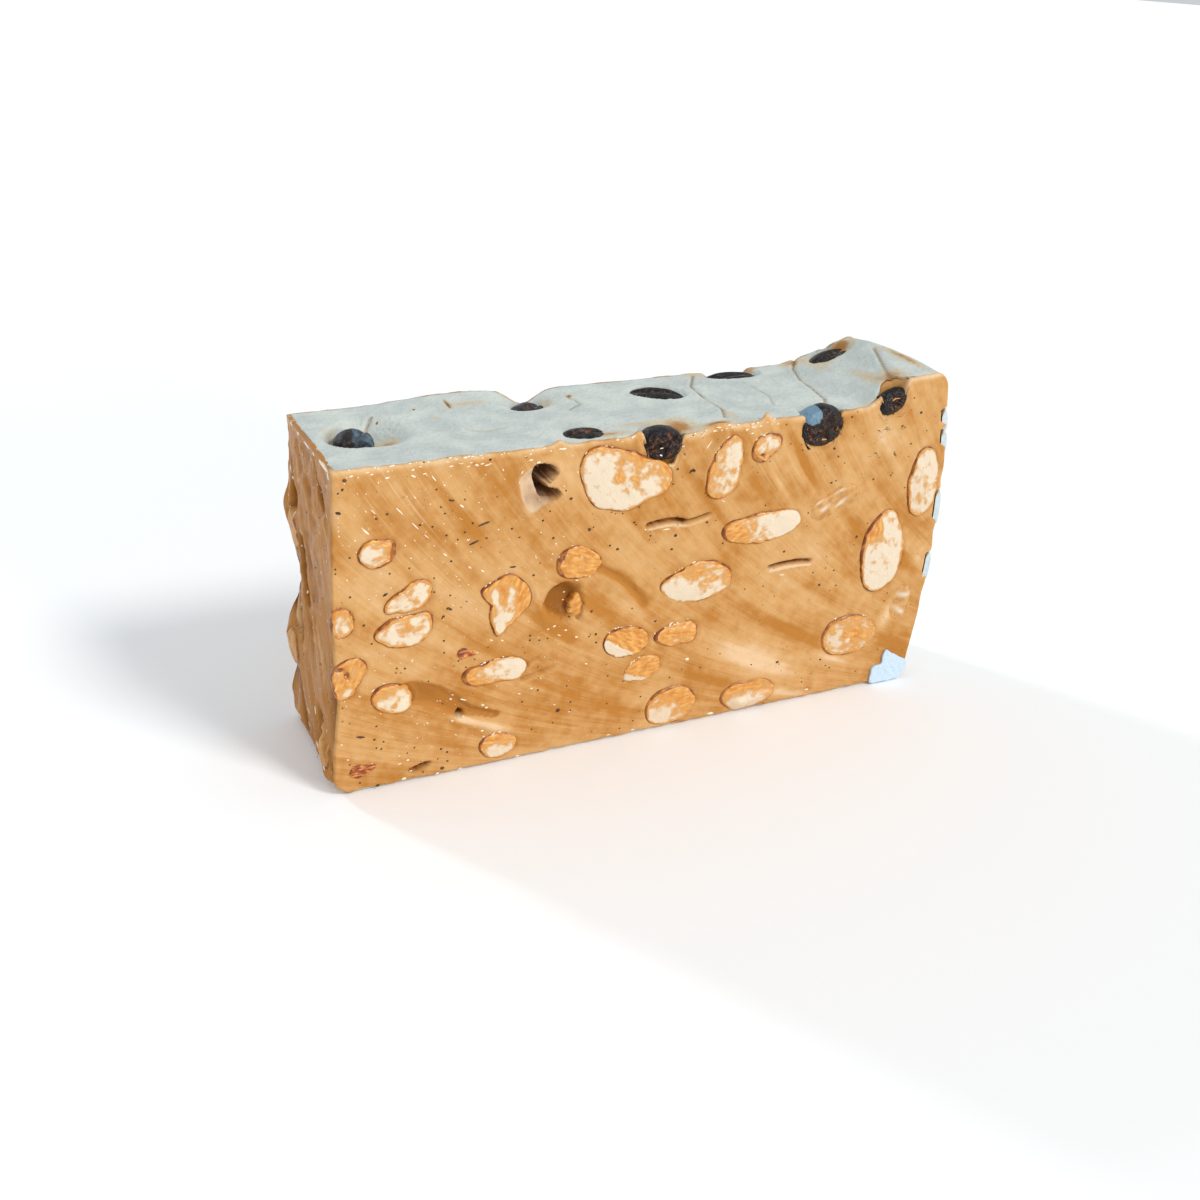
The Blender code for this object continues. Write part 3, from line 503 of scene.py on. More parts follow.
# Almonds cut on the back and the left end: half length, half width, tilt, how much one tip is
# narrower, how three-cornered. Nobody sees how these were cut, so they follow the front's kind.
BACK_ALMONDS = (
    (6.5, 3.6, 40, 0.2, 0.0), (8.5, 4.4, -15, 0.1, 0.0), (5.5, 3.4, 20, 0.0, 0.0),
    (5.2, 3.3, -30, 0.0, 0.0), (9.0, 4.2, 12, 0.1, 0.0), (7.5, 4.0, -25, 0.2, 0.1),
    (8.2, 4.6, 35, 0.1, 0.0), (7.0, 3.8, 70, 0.0, 0.0), (5.4, 3.4, 5, 0.0, 0.0),
    (9.8, 5.0, -12, 0.1, 0.1), (6.6, 3.6, 28, 0.1, 0.0), (8.0, 3.4, 8, 0.1, 0.0),
    (9.4, 4.8, 82, 0.1, 0.0), (5.6, 3.6, -35, 0.0, 0.0), (7.4, 4.2, 14, 0.1, 0.0),
    (8.6, 4.0, 66, 0.1, 0.0),
)
END_ALMONDS = ((4.4, 2.6, 88, 0.0, 0.0), (4.0, 2.8, 80, 0.0, 0.1), (4.6, 2.2, 60, 0.2, 0.0))
SCRAPS = ((2.7, 1.3, 12, 0.2, 0.2), (2.1, 0.9, -8, 0.3, 0.2))


def nut_radii(half_length, half_width, tilt, narrow, three, seed):
    """Radii every 15 degrees of a plain cut nut: an ellipse with one narrower tip, a little wavy."""
    angle = np.linspace(0.0, 2.0 * np.pi, 24, endpoint=False) - math.radians(tilt)
    base = 1.0 / np.hypot(np.cos(angle) / half_length, np.sin(angle) / half_width)
    wave = 1.0 + 0.05 * grain(3.0 + 2.0 * np.cos(angle), 3.0 + 2.0 * np.sin(angle), seed)
    return base * wave * (1.0 - narrow * 0.5 * np.cos(angle)) * (1.0 + three * np.cos(3.0 * angle))


def nut_middle(node):
    """Middle of a nut's solid, as (along, across, up) in bar millimetres."""
    low, high = (np.array(corner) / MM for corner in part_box(node))
    return (low + high) / 2.0 - (SLIDE, 0.0, 0.0)


# How far a few outlines' own middles lie from the middle of the solid's box, and the nuts that
# have no moat or lip round them.
OFF_MIDDLE = {2: (0.0, 0.1), 5: (-0.1, -0.6), 7: (0.0, 0.2), 11: (1.2, -0.6)}
BLENDED = (11, 16, 26)
front_nuts, back_nuts, end_nuts = [], [], []
for number, row in enumerate(FRONT_ALMONDS, start=1):
    middle = nut_middle(f"almond_front_{number}")
    off = OFF_MIDDLE.get(number, (0.0, 0.0))
    plain = (True,) if number in BLENDED else ()
    front_nuts.append((middle[0] + off[0], middle[2] + off[1], np.array(row[0]), *plain))
for number, row in enumerate(BACK_ALMONDS, start=1):
    middle = nut_middle(f"almond_back_{number}")
    back_nuts.append((middle[0], middle[2], nut_radii(*row, 200 + number)))
for number, row in enumerate(END_ALMONDS, start=1):
    middle = nut_middle(f"almond_end_{number}")
    end_nuts.append((middle[1], middle[2], nut_radii(*row, 300 + number)))
scrap_nuts, cut_bean_outlines = [], []
for number, row in enumerate(SCRAPS, start=1):
    middle = nut_middle(f"skin_scrap_{number}")
    scrap_nuts.append((middle[0], middle[2], nut_radii(*row, 400 + number)))
for number in CUT_BEANS:
    half_length, half_width, _, _, tilt, _, _ = BEANS[number - 1]
    outline = nut_radii(half_length, half_width, tilt, 0.0, 0.0, 1)
    cut_bean_outlines.append((*BEAN_MIDDLES[number - 1][[0, 2]], outline))


# Which way up the cuts the light comes from, in degrees.
LIT_FROM = 60.0


def sockets(u, v, nuts):
    """Sockets round the nuts, in millimetres deep: dug out under each nut's face.

    A narrow moat follows the outline, deepest away from the light, and a low lip stands outside
    it towards the light.
    """
    depth = np.zeros(np.shape(u))
    for middle_u, middle_v, radii, *plain in nuts:
        du, dv = u - middle_u, v - middle_v
        near = (np.abs(du) < radii.max() + 3.0) & (np.abs(dv) < radii.max() + 3.0)
        angle = np.arctan2(dv[near], du[near])
        far = np.hypot(du[near], dv[near])
        inside = (1.0 - far / reach(radii, angle)) * np.minimum(reach(radii, angle), far + 3.0)
        towards = np.cos(angle - math.radians(LIT_FROM))
        dug = 2.2 * ramp(inside, 0.5, 1.0)
        moat = (0.2 - 0.16 * towards) * hump(inside, 0.05, 0.42)
        lip = (0.12 + 0.1 * towards) * hump(inside, -0.85, 0.45)
        depth[near] = depth[near] + (dug if plain else dug + moat - lip)
    return depth


def corner_to_arc(x, z, corner_x, corner_z, radius, side, rise):
    """Bend a square corner to an arc: in the corner's square the distance becomes the larger
    of its two parts."""
    a, b = (x - corner_x) * side, (z - corner_z) * rise
    p, q = np.clip(radius - a, 0.0, None), np.clip(radius - b, 0.0, None)
    squeeze = np.maximum(p, q) / np.maximum(np.hypot(p, q), 1e-9)
    inside = (p > 0.0) & (q > 0.0)
    new_x = corner_x + side * (radius - p * squeeze)
    new_z = corner_z + rise * (radius - q * squeeze)
    return np.where(inside, new_x, x), np.where(inside, new_z, z)


def block_outline(s, t, y):
    """A point of the block across at y: s from 0 at the left line to 1 at the right line,
    t from 0 at the foot to 1 at the top of the paste, with three corners bent to arcs."""
    x = left_line(y, t * TOP)
    x = x + s * (right_line(y, t * TOP) - x)
    z = FOOT + t * (nougat_top(x, y) - FOOT)
    left, right = left_line(y, z), right_line(y, z)
    x = left + s * (right - left)
    foot = FOOT + 0.3 * np.abs(rough(x, y, 3.4, 57))
    z = foot + t * (nougat_top(x, y) - foot) - ramp(t, 0.88, 1.0) * bean_seats(x, y)
    x, z = corner_to_arc(x, z, left, foot, 3.2, 1.0, 1.0)
    x, z = corner_to_arc(x, z, right, foot, 3.2, -1.0, 1.0)
    return corner_to_arc(x, z, right, nougat_top(x, y), 3.5, -1.0, -1.0)


def stations(start, end, count, spacing):
    """Count steps from start to end whose lengths follow spacing, as shares from 0 to 1."""
    fine = np.linspace(start, end, 4000)
    run = np.concatenate(([0.0], np.cumsum(1.0 / spacing(fine[:-1]))))
    return (np.interp(np.linspace(0.0, run[-1], count + 1), run, fine) - start) / (end - start)


def step_along(x):
    """Grid step along the bar: fine at the ends and round the bubble."""
    hole = ramp(x, -34.5, -33.0) * (1.0 - ramp(x, -23.0, -21.5))
    return 0.52 - 0.24 * hole - 0.28 * hump(x, LEFT_FOOT, 0.8) - 0.28 * hump(x, RIGHT_MOST, 0.8)


def step_up(z):
    """Grid step up the bar: fine at the foot, the top and the bubble."""
    fine = 0.22 * hump(z, 0.0, 0.8) + 0.25 * hump(z, TOP, 0.9) + 0.2 * hump(z, 61.8, 6.0)
    return 0.5 - fine - 0.28 * hump(z, 50.3, 1.2) - 0.28 * hump(z, 36.0, 1.1) - 0.22 * hump(z, 3.8, 1.5)


ALONG, UP = 300, 168
EDGE_TURN = 0.55
shares_s = stations(LEFT_FOOT, RIGHT_MOST, ALONG, step_along)
shares_t = stations(0.0, TOP, UP, step_up)


def cut_face(s, t, side):
    """The front (side -1) or back (side 1) cut as a grid: outline, waves, pits and sockets.

    Near its border the face turns over into the bar by a quarter circle.
    """
    s, t = np.meshgrid(s, t, indexing="ij")
    x, z = block_outline(s, t, np.full(s.shape, side * HALF_DEPTH))
    border = np.minimum(np.minimum(s, 1.0 - s) * LENGTH, np.minimum(t, 1.0 - t) * TOP)
    turn = np.clip(EDGE_TURN - border, 0.0, EDGE_TURN)
    drop = EDGE_TURN - np.sqrt(np.clip(EDGE_TURN ** 2 - turn ** 2, 0.0, None))
    inner = ramp(border, 0.2, 1.2)
    if side < 0:
        depth = front_waves(x, z) + front_pits(x, z) + sockets(x, z, front_nuts + scrap_nuts)
        depth = depth + sockets(x, z, cut_bean_outlines)
    else:
        depth = back_waves(x, z) + sockets(x, z, back_nuts)
    y = side * (HALF_DEPTH - drop - depth * inner)
    return np.stack((x, y, z), axis=-1)


def border_loop(grid):
    """The border of a grid in one turn: foot, right side, top, left side."""
    return np.concatenate((grid[:-1, 0], grid[-1, :-1], grid[:0:-1, -1], grid[0, :0:-1]))


front = cut_face(shares_s, shares_t, -1)
back = cut_face(shares_s[::2], shares_t[::2], 1)
loop_s = border_loop(np.broadcast_to(shares_s[:, None], front.shape[:2]))
loop_t = border_loop(np.broadcast_to(shares_t[None, :], front.shape[:2]))
near_rows = np.concatenate(((-16.7, -16.35, -16.0, -15.6), np.linspace(-15.0, -2.0, 19)))
far_rows = np.concatenate((np.linspace(-1.1, 15.6, 19), (16.2, 16.6, 16.8)))


def walls(loop_s, loop_t, rows):
    """The sides between the cuts: the outline at each row across, with sockets in the left end."""
    y = np.broadcast_to(rows[:, None], (len(rows), len(loop_s)))
    x, z = block_outline(np.broadcast_to(loop_s, y.shape), np.broadcast_to(loop_t, y.shape), y)
    on_left = np.broadcast_to(loop_s == 0.0, y.shape)
    x = x + np.where(on_left, sockets(y, z, end_nuts) * ramp(z, 1.0, 4.0), 0.0)
    return np.stack((x, y, z), axis=-1)


near = walls(loop_s, loop_t, near_rows)
far = walls(loop_s[::2], loop_t[::2], far_rows)


def grid_quads(index):
    """Quads of a grid of point numbers, turning from the first way to the second."""
    return np.stack((index[:-1, :-1], index[1:, :-1], index[1:, 1:], index[:-1, 1:]),
                    axis=-1).reshape(-1, 4)


def new_piece(name, points, quads, tris, material, nodes, values=None, uv=None):
    """Make a mesh object from millimetre points, in the frame's metres, and tell the frame."""
    mesh = bpy.data.meshes.new(name)
    placed = (np.asarray(points) + (SLIDE, 0.0, 0.0)) * MM
    mesh.from_pydata(placed.tolist(), [], quads.tolist() + tris.tolist())
    for key, value in (values or {}).items():
        layer = mesh.attributes.new(key, "FLOAT", "POINT")
        layer.data.foreach_set("value", np.ascontiguousarray(value, dtype=np.float32))
    if uv is not None:
        corners = np.concatenate((quads.ravel(), tris.ravel()))
        spread = uv if len(uv) == len(corners) else uv[corners]
        mesh.uv_layers.new(name="UVMap").data.foreach_set("uv", spread.astype(np.float32).ravel())
    mesh.materials.append(material)
    mesh.shade_smooth()
    piece = bpy.data.objects.new(name, mesh)
    bpy.context.scene.collection.objects.link(piece)
    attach(piece, "root")
    if nodes:
        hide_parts(*nodes)
    return piece


def linear(colour):
    """An sRGB hex colour as linear red, green, blue and 1."""
    parts = [int(colour[k:k + 2], 16) / 255.0 for k in (1, 3, 5)]
    return tuple(c / 12.92 if c <= 0.04045 else ((c + 0.055) / 1.055) ** 2.4 for c in parts) + (1.0,)


def new_material(name, **values):
    """A Principled material with its constant values set on the shader's own sockets."""
    material = bpy.data.materials.new(name)
    material.use_nodes = True
    shader = material.node_tree.nodes["Principled BSDF"]
    for key, value in values.items():
        shader.inputs[key.replace("_", " ")].default_value = value
    return material, shader


def add_node(material, kind, settings, inputs):
    """Add a shader node with its settings, set or link its inputs, and give back its outputs."""
    node = material.node_tree.nodes.new("ShaderNode" + kind)
    for key, value in settings.items():
        setattr(node, key, value)
    for key, value in inputs.items():
        if isinstance(value, bpy.types.NodeSocket):
            material.node_tree.links.new(value, node.inputs[key])
        else:
            node.inputs[key].default_value = linear(value) if isinstance(value, str) else value
    return node.outputs


def link_to(material, socket, output):
    """Feed a node's output into a socket of the shader."""
    material.node_tree.links.new(output, socket)


SMOOTH = {"interpolation_type": "SMOOTHSTEP"}
COLOURS = {"data_type": "RGBA"}
ADD_SCALED = {"operation": "MULTIPLY_ADD"}


# Beaten nougat paste, cut with a warm knife: a waxy, slightly wet face whose fine ridges catch
# small hard lights, golden tan with paler bands where it was stretched and ground coffee in it.
# Its UV is in millimetres, across and along the drag marks.
paste, shader = new_material("cut_coffee_nougat", Specular_IOR_Level=0.05, Subsurface_Weight=0.1,
                             Subsurface_Scale=0.002, Subsurface_Radius=(1.0, 0.55, 0.25))
coords = add_node(paste, "TexCoord", {}, {})
drawn = []
for scale, detail in (((0.28, 0.045, 1.0), 3.0), ((1.3, 0.1, 1.0), 3.0), ((1.7, 0.035, 1.0), 1.0),
                      ((1.1, 0.14, 1.0), 2.0)):
    long_drawn = add_node(paste, "Mapping", {}, {"Vector": coords["UV"], "Scale": scale})[0]
    drawn.append(add_node(paste, "TexNoise", {}, {"Vector": long_drawn, "Scale": 1.0,
                                                  "Detail": detail})[0])
bands, threads, hairs, ridges = drawn
clouds = add_node(paste, "TexNoise", {}, {"Vector": coords["Object"], "Scale": 90.0, "Detail": 3.0})[0]
mottle = add_node(paste, "TexNoise", {}, {"Vector": coords["Object"], "Scale": 420.0, "Detail": 5.0})[0]
pale, cave, painted_shade, scratches_and_glints = (
    add_node(paste, "Attribute", {"attribute_name": name}, {})["Fac"]
    for name in ("pale", "cave", "painted_shade", "scratches_and_glints"))
tone = pale
for noise, weight in ((bands, 0.65), (threads, 0.35), (clouds, 0.3), (mottle, 0.55)):
    tone = add_node(paste, "Math", ADD_SCALED, {0: noise, 1: weight, 2: tone})[0]
lighter = add_node(paste, "MapRange", SMOOTH, {"Value": tone, "From Min": 0.5, "From Max": 1.08})[0]
palest = add_node(paste, "MapRange", SMOOTH, {"Value": tone, "From Min": 0.95, "From Max": 1.7})[0]
hairs = add_node(paste, "MapRange", SMOOTH, {"Value": hairs, "From Min": 0.58, "From Max": 0.8,
                                             "To Max": 0.42})[0]
hairs = add_node(paste, "Math", {"operation": "MULTIPLY"}, {0: hairs, 1: scratches_and_glints})[0]
dots = add_node(paste, "TexVoronoi", {}, {"Vector": coords["Object"], "Scale": 620.0})
chance = add_node(paste, "SeparateColor", {}, {0: dots["Color"]})[0]
chance = add_node(paste, "MapRange", SMOOTH, {"Value": chance, "From Min": 0.86, "From Max": 0.9})[0]
dot = add_node(paste, "MapRange", SMOOTH, {"Value": dots["Distance"], "From Min": 0.16,
                                           "From Max": 0.1})[0]
dot = add_node(paste, "Math", {"operation": "MULTIPLY"}, {0: dot, 1: chance})[0]
colour = "#B27736"
# The darkest tint is painted shade in the recesses; the pale hair lines are partly painted highlight on
# scratches.
for share, tint in ((lighter, "#CB9C64"), (palest, "#DEBC94"), (hairs, "#E9CDA6"), (cave, "#D2B594"),
                    (painted_shade, "#683408"), (dot, "#5B3A20")):
    colour = add_node(paste, "Mix", COLOURS, {0: share, 6: colour, 7: tint})[2]
link_to(paste, shader.inputs["Base Color"], colour)
relief = add_node(paste, "Math", ADD_SCALED, {0: ridges, 1: 0.4, 2: mottle})[0]
bump = add_node(paste, "Bump", {}, {"Height": relief, "Strength": 1.0, "Distance": 0.00028})[0]
link_to(paste, shader.inputs["Normal"], bump)
gloss = add_node(paste, "MapRange", SMOOTH, {"Value": clouds, "From Min": 0.3, "From Max": 0.7,
                                             "To Min": 0.2, "To Max": 0.36})[0]
link_to(paste, shader.inputs["Roughness"], gloss)

# Bands drawn through the front: along, height, half length, half width, paler (+) or darker (-).
BANDS = (
    (24.0, 14.5, 11.0, 3.0, 0.85), (30.0, 21.5, 17.0, 1.6, -0.5), (14.0, 10.5, 9.0, 1.6, -0.35),
    (-44.0, 12.6, 2.4, 0.6, 1.6), (32.0, 3.6, 9.0, 1.0, 0.9), (46.5, 9.5, 4.5, 0.9, 0.7),
    (55.0, 12.5, 2.4, 1.0, 0.6), (-52.0, 58.0, 13.0, 2.6, -0.2), (-44.0, 58.0, 10.0, 1.4, -0.3),
    (-58.0, 30.0, 9.0, 3.0, 0.25), (-38.5, 10.0, 4.0, 0.8, 0.9), (-56.0, 14.0, 12.0, 2.0, -0.15),
    (-24.0, 30.0, 8.0, 2.0, -0.5), (-15.0, 33.5, 6.0, 2.2, -0.45), (-6.0, 31.0, 6.0, 2.6, 0.4),
    (-22.0, 14.0, 14.0, 3.0, -0.2), (0.0, 41.0, 12.0, 3.0, 0.25), (35.0, 41.0, 10.0, 3.0, 0.15),
    (32.0, 62.0, 8.0, 1.2, -0.5), (27.0, 56.0, 6.0, 0.7, 0.5), (34.0, 58.0, 5.0, 0.8, -0.5),
    (24.0, 60.0, 5.0, 0.8, -0.4), (41.0, 59.0, 5.0, 0.8, -0.35), (48.0, 43.0, 9.0, 1.2, -0.3),
    (62.0, 34.0, 9.0, 1.8, -0.35), (66.0, 12.0, 8.0, 2.0, -0.2), (61.5, 19.0, 1.5, 4.0, 0.7),
    (44.0, 26.0, 10.0, 2.0, -0.35), (-22.0, 50.0, 9.0, 3.0, 0.3), (9.0, 56.0, 8.0, 1.4, -0.3),
    (-30.0, 33.0, 8.0, 1.2, 0.3),
)


def band_tone(x, z):
    """Sum of bands: each a bell curve, long along the local drag direction and narrow across."""
    total = np.zeros(np.shape(x))
    for middle_x, middle_z, half_long, half_wide, height in BANDS:
        c, s = heading(float(streak_angle(middle_z)))
        du, dv = x - middle_x, z - middle_z
        along, across = du * c - dv * s, du * s + dv * c
        total = total + height * np.exp(-(along / half_long) ** 2 - (across / half_wide) ** 2)
    return total


# Looks carried by the paste's points: paler or darker (painted light and shade among them), in the
# bubble, painted shade in the recesses, scratched with partly painted glints.
points = np.concatenate([part.reshape(-1, 3) for part in (front, back, near, far)])
x, y, z = points.T
on_front = np.arange(len(points)) < front.shape[0] * front.shape[1]
# The lips below the slits are painted pale: painted light on their upper faces.
pale = np.where(on_front, band_tone(x, z) + 0.9 * slit_lips(x, z), 0.0)
pale = pale + 0.2 * streaks(x, z, 3.6, 30.0, 95) + 0.14 * rough(x, z, 9.0, 98, 3)
pale = pale + np.where(on_front, 0.03 * ramp(x, 30.0, 60.0) - 0.05
                       - 0.1 * ramp(x, 0.0, 30.0) * (1.0 - ramp(z, 4.0, 24.0)), 0.0)
below_rim = z - nougat_top(x, y) + bean_seats(x, y)
rim_tone = (0.45 + 0.3 * rough(x, z, 4.0, 99)) * ramp(below_rim, -1.6, -0.3)
pale = pale + np.where(on_front, rim_tone, 0.0)
# The drag hollow and the groove from a nut's tip are painted darker: painted shade.
drag = 1.0 - ramp(off_path(x, z, DRAG) / drag_width(x), 0.6, 1.05)
pale = np.where(on_front, pale - 0.75 * drag - 0.8 * stroke(x, z, GROOVE, 1.0), pale)
in_hole = off_hole(x, z)
sunk = y + HALF_DEPTH
cave = np.where(on_front, 1.0 - ramp(in_hole, 0.9, 1.03), 0.0)
# Painted shade: the deeper a point lies in the cut, the darker it is painted, in slits, sockets and
# pits.
painted_shade = np.where(on_front, 0.8 * ramp(sunk, 0.5, 1.7), 0.0)
# In the bubble: painted shade over its deep right lobes, and a painted band of shade across its upper
# part.
shaded_lobes = bubble_depths(x, z) * ramp(sunk, 0.1, 0.9)
shadow_band = 0.32 * hump(z, 59.4, 1.2) * ramp(x, -32.0, -30.0)
painted_shade = np.where(on_front & (in_hole < 1.1), np.maximum(0.8 * shaded_lobes, shadow_band), painted_shade)
# Where pale hair lines are drawn: scratches, whose paleness is partly painted highlight on their ridges.
scratches_and_glints = np.exp(-((x + 56.0) / 16.0) ** 2 - ((z - 58.0) / 12.0) ** 2)
scratches_and_glints = scratches_and_glints + 0.8 * np.exp(-((x - 30.0) / 9.0) ** 2 - ((z - 58.0) / 9.0) ** 2)
scratches_and_glints = np.where(on_front, np.minimum(scratches_and_glints, 1.0), np.where(y > HALF_DEPTH - 2.0, 0.4, 0.0))
# The lost nut's hollow is painted a darker orange-brown, as painted shade, in place of part of the
# recess shade.
lost = np.hypot((x + 22.4) / 5.2, (z - 36.4) / 5.2)
painted_shade = np.where(on_front & (lost < 1.1), 0.6 * painted_shade, painted_shade)
pale = pale - np.where(on_front, 0.4 * (1.0 - ramp(lost, 0.7, 1.0)), 0.0)
# The left end: painted shade in its hollows, and the whole end painted darker and browner, partly its
# own torn surface and partly painted shade of a side turned from the light.
on_left = ~on_front & (x < LEFT_FOOT + LEFT_LEAN + 2.6) & (np.abs(y) < HALF_DEPTH - 0.3)
hollow = left_line(y, z) - (LEFT_FOOT + LEFT_LEAN * z / TOP)
painted_shade = np.where(on_left, np.clip(0.02 + 0.8 * hollow, 0.0, 0.94), painted_shade)
pale = np.where(on_left, -0.65 + 0.8 * grain((y - 0.5 * z) / 1.4, z / 14.0, 97), pale)

# Point numbers of each part, and the faces between them, all turned outwards.
starts = np.cumsum([0] + [part.shape[0] * part.shape[1] for part in (front, back, near)])
front_ids, back_ids, near_ids, far_ids = (
    start + np.arange(part.shape[0] * part.shape[1]).reshape(part.shape[:2])
    for start, part in zip(starts, (front, back, near, far)))
near_ids = np.concatenate((border_loop(front_ids)[None], near_ids))
far_ids = np.concatenate((far_ids, border_loop(back_ids)[None]))
wrap_near = np.concatenate((near_ids, near_ids[:, :1]), axis=1)
wrap_far = np.concatenate((far_ids, far_ids[:, :1]), axis=1)
quads = [grid_quads(front_ids), grid_quads(back_ids)[:, ::-1], grid_quads(wrap_near),
         grid_quads(wrap_far)]
fine_row, coarse_row = wrap_near[-1], wrap_far[0]
tris = np.concatenate((
    np.stack((fine_row[:-1:2], coarse_row[:-1], fine_row[1::2]), axis=-1),
    np.stack((fine_row[1::2], coarse_row[:-1], coarse_row[1:]), axis=-1),
    np.stack((fine_row[1::2], coarse_row[1:], fine_row[2::2]), axis=-1)))

# UV in millimetres: drag marks on both cuts, grooves down the left end, plain on the top.
heights = np.linspace(-2.0, 82.0, 841)
slope = np.radians(streak_angle(heights))
run_x = np.concatenate(([0.0], np.cumsum(0.1 / np.tan(slope[:-1]))))
run_s = np.concatenate(([0.0], np.cumsum(0.1 / np.sin(slope[:-1]))))
drawn_x, drawn_s = np.interp(z, heights, run_x), np.interp(z, heights, run_s)
uv_front = np.stack((drawn_x + x, drawn_s), axis=-1)
uv_back = np.stack((drawn_x - x, drawn_s), axis=-1)
uv_end = np.stack((y - 0.5 * z + 300.0, z), axis=-1)
uv_top = np.stack((x + 600.0, y), axis=-1)
quad_list = np.concatenate(quads)
region = np.concatenate([np.full(len(part), kind) for kind, part in zip((0, 1, 2, 2), quads)])
side_x = x[quad_list].mean(axis=1) < -66.0
region = np.where((region == 2) & side_x, 3, region)
tables = np.stack((uv_front, uv_back, uv_top, uv_end))
uv = np.concatenate((tables[np.repeat(region, 4), quad_list.ravel()],
                     tables[2, tris.ravel()]))
new_piece("nougat_block", points, quad_list, tris, paste, ["nougat"],
          {"pale": pale, "cave": cave, "painted_shade": painted_shade, "scratches_and_glints": scratches_and_glints}, uv)

# ---------------------------------------------------------------------------------- cut almonds
# Whole roasted almonds, skin on, set in the paste and sliced through by the knife: a cream to
# tan flesh with a thin red-brown skin round it. Each is one closed nut whose face lies just proud.
# Its UV is in millimetres along and across the kernel's own grain.
kernel, shader = new_material("sliced_roast_almond", Roughness=0.3, Specular_IOR_Level=0.5,
                              Subsurface_Weight=0.12, Subsurface_Scale=0.0015,
                              Subsurface_Radius=(1.0, 0.7, 0.4))
coords = add_node(kernel, "TexCoord", {}, {})
fibres = add_node(kernel, "Mapping", {}, {"Vector": coords["UV"], "Scale": (0.5, 1.25, 1.0)})[0]
fibres = add_node(kernel, "TexNoise", {}, {"Vector": fibres, "Scale": 1.0, "Detail": 4.0})[0]
blotch = add_node(kernel, "TexNoise", {}, {"Vector": coords["Object"], "Scale": 520.0,
                                           "Detail": 5.0})[0]
toast, smear, skin = (add_node(kernel, "Attribute", {"attribute_name": name}, {})["Fac"]
                      for name in ("toast", "smear", "skin"))
halo = add_node(kernel, "MapRange", SMOOTH, {"Value": skin, "From Min": -0.9, "From Max": 0.0})[0]
cracks = add_node(kernel, "Mapping", {}, {"Vector": coords["UV"], "Scale": (0.3, 0.75, 1.0)})[0]
cracks = add_node(kernel, "TexVoronoi", {"feature": "DISTANCE_TO_EDGE"},
                  {"Vector": cracks, "Scale": 1.0})[0]
cracks = add_node(kernel, "MapRange", SMOOTH, {"Value": cracks, "From Min": 0.05, "From Max": 0.0})[0]
broken = add_node(kernel, "MapRange", SMOOTH, {"Value": blotch, "From Min": 0.45, "From Max": 0.6})[0]
cracks = add_node(kernel, "Math", {"operation": "MULTIPLY"}, {0: cracks, 1: broken})[0]
brown = add_node(kernel, "Math", {"operation": "SUBTRACT"}, {0: toast, 1: 0.15})[0]
for noise, weight in ((fibres, 0.6), (blotch, 1.5), (halo, 0.55), (cracks, 0.12)):
    brown = add_node(kernel, "Math", ADD_SCALED, {0: noise, 1: weight, 2: brown})[0]
tan = add_node(kernel, "MapRange", SMOOTH, {"Value": brown, "From Min": 1.06, "From Max": 1.46})[0]
amber = add_node(kernel, "MapRange", SMOOTH, {"Value": brown, "From Min": 1.42, "From Max": 1.75})[0]
glaze = add_node(kernel, "MapRange", SMOOTH, {"Value": fibres, "From Min": 0.35, "From Max": 0.7})[0]
glaze = add_node(kernel, "Math", {"operation": "MULTIPLY"}, {0: glaze, 1: amber})[0]
patchy = add_node(kernel, "MapRange", SMOOTH, {"Value": blotch, "From Min": 0.35, "From Max": 0.65})[0]
over = add_node(kernel, "Mix", COLOURS, {0: patchy, 6: "#B57B38", 7: "#CB9A58"})[2]
rind = add_node(kernel, "MapRange", SMOOTH, {"Value": blotch, "From Min": 0.4, "From Max": 0.65})[0]
rind = add_node(kernel, "Mix", COLOURS, {0: rind, 6: "#7A3A10", 7: "#B8742E"})[2]
ragged = add_node(kernel, "Math", ADD_SCALED, {0: blotch, 1: 0.28, 2: skin})[0]
ragged = add_node(kernel, "MapRange", SMOOTH, {"Value": ragged, "From Min": 0.1, "From Max": 0.2})[0]
colour = "#DECCB2"
for share, tint in ((tan, "#CC9550"), (amber, "#C67C28"), (glaze, "#E3AC5C"), (ragged, rind),
                    (smear, over)):
    colour = add_node(kernel, "Mix", COLOURS, {0: share, 6: colour, 7: tint})[2]
link_to(kernel, shader.inputs["Base Color"], colour)
grit = add_node(kernel, "TexNoise", {}, {"Vector": coords["Object"], "Scale": 1500.0, "Detail": 3.0})[0]
grit = add_node(kernel, "Math", ADD_SCALED, {0: grit, 1: 0.4, 2: fibres})[0]
grit = add_node(kernel, "Math", ADD_SCALED, {0: cracks, 1: -0.1, 2: grit})[0]
bump = add_node(kernel, "Bump", {}, {"Height": grit, "Strength": 0.45, "Distance": 0.0004})[0]
link_to(kernel, shader.inputs["Normal"], bump)

SIDES = 96
FACE_RINGS = np.array((0.1, 0.22, 0.34, 0.46, 0.57, 0.67, 0.76, 0.84, 0.9, 0.945, 0.975, 1.0))
# Rings under the face: share of the outline, depth; then the depth of the nut's lowest point.
SKIRT_RINGS = ((1.0, 0.25), (0.99, 0.7), (0.95, 1.4), (0.82, 2.4), (0.55, 3.3), (0.25, 3.7))
NUT_DEPTH = 3.8


def ring_faces(rows, sides):
    """Quads between rows of points round a shape, and triangles to a single point at each end."""
    index = 1 + np.arange(rows * sides).reshape(rows, sides)
    index = np.concatenate((index, index[:, :1]), axis=1)
    last = rows * sides + 1
    first_fan = np.stack((np.zeros(sides, int), index[0, :-1], index[0, 1:]), axis=-1)
    last_fan = np.stack((np.full(sides, last), index[-1, 1:], index[-1, :-1]), axis=-1)
    return grid_quads(index), np.concatenate((first_fan, last_fan))


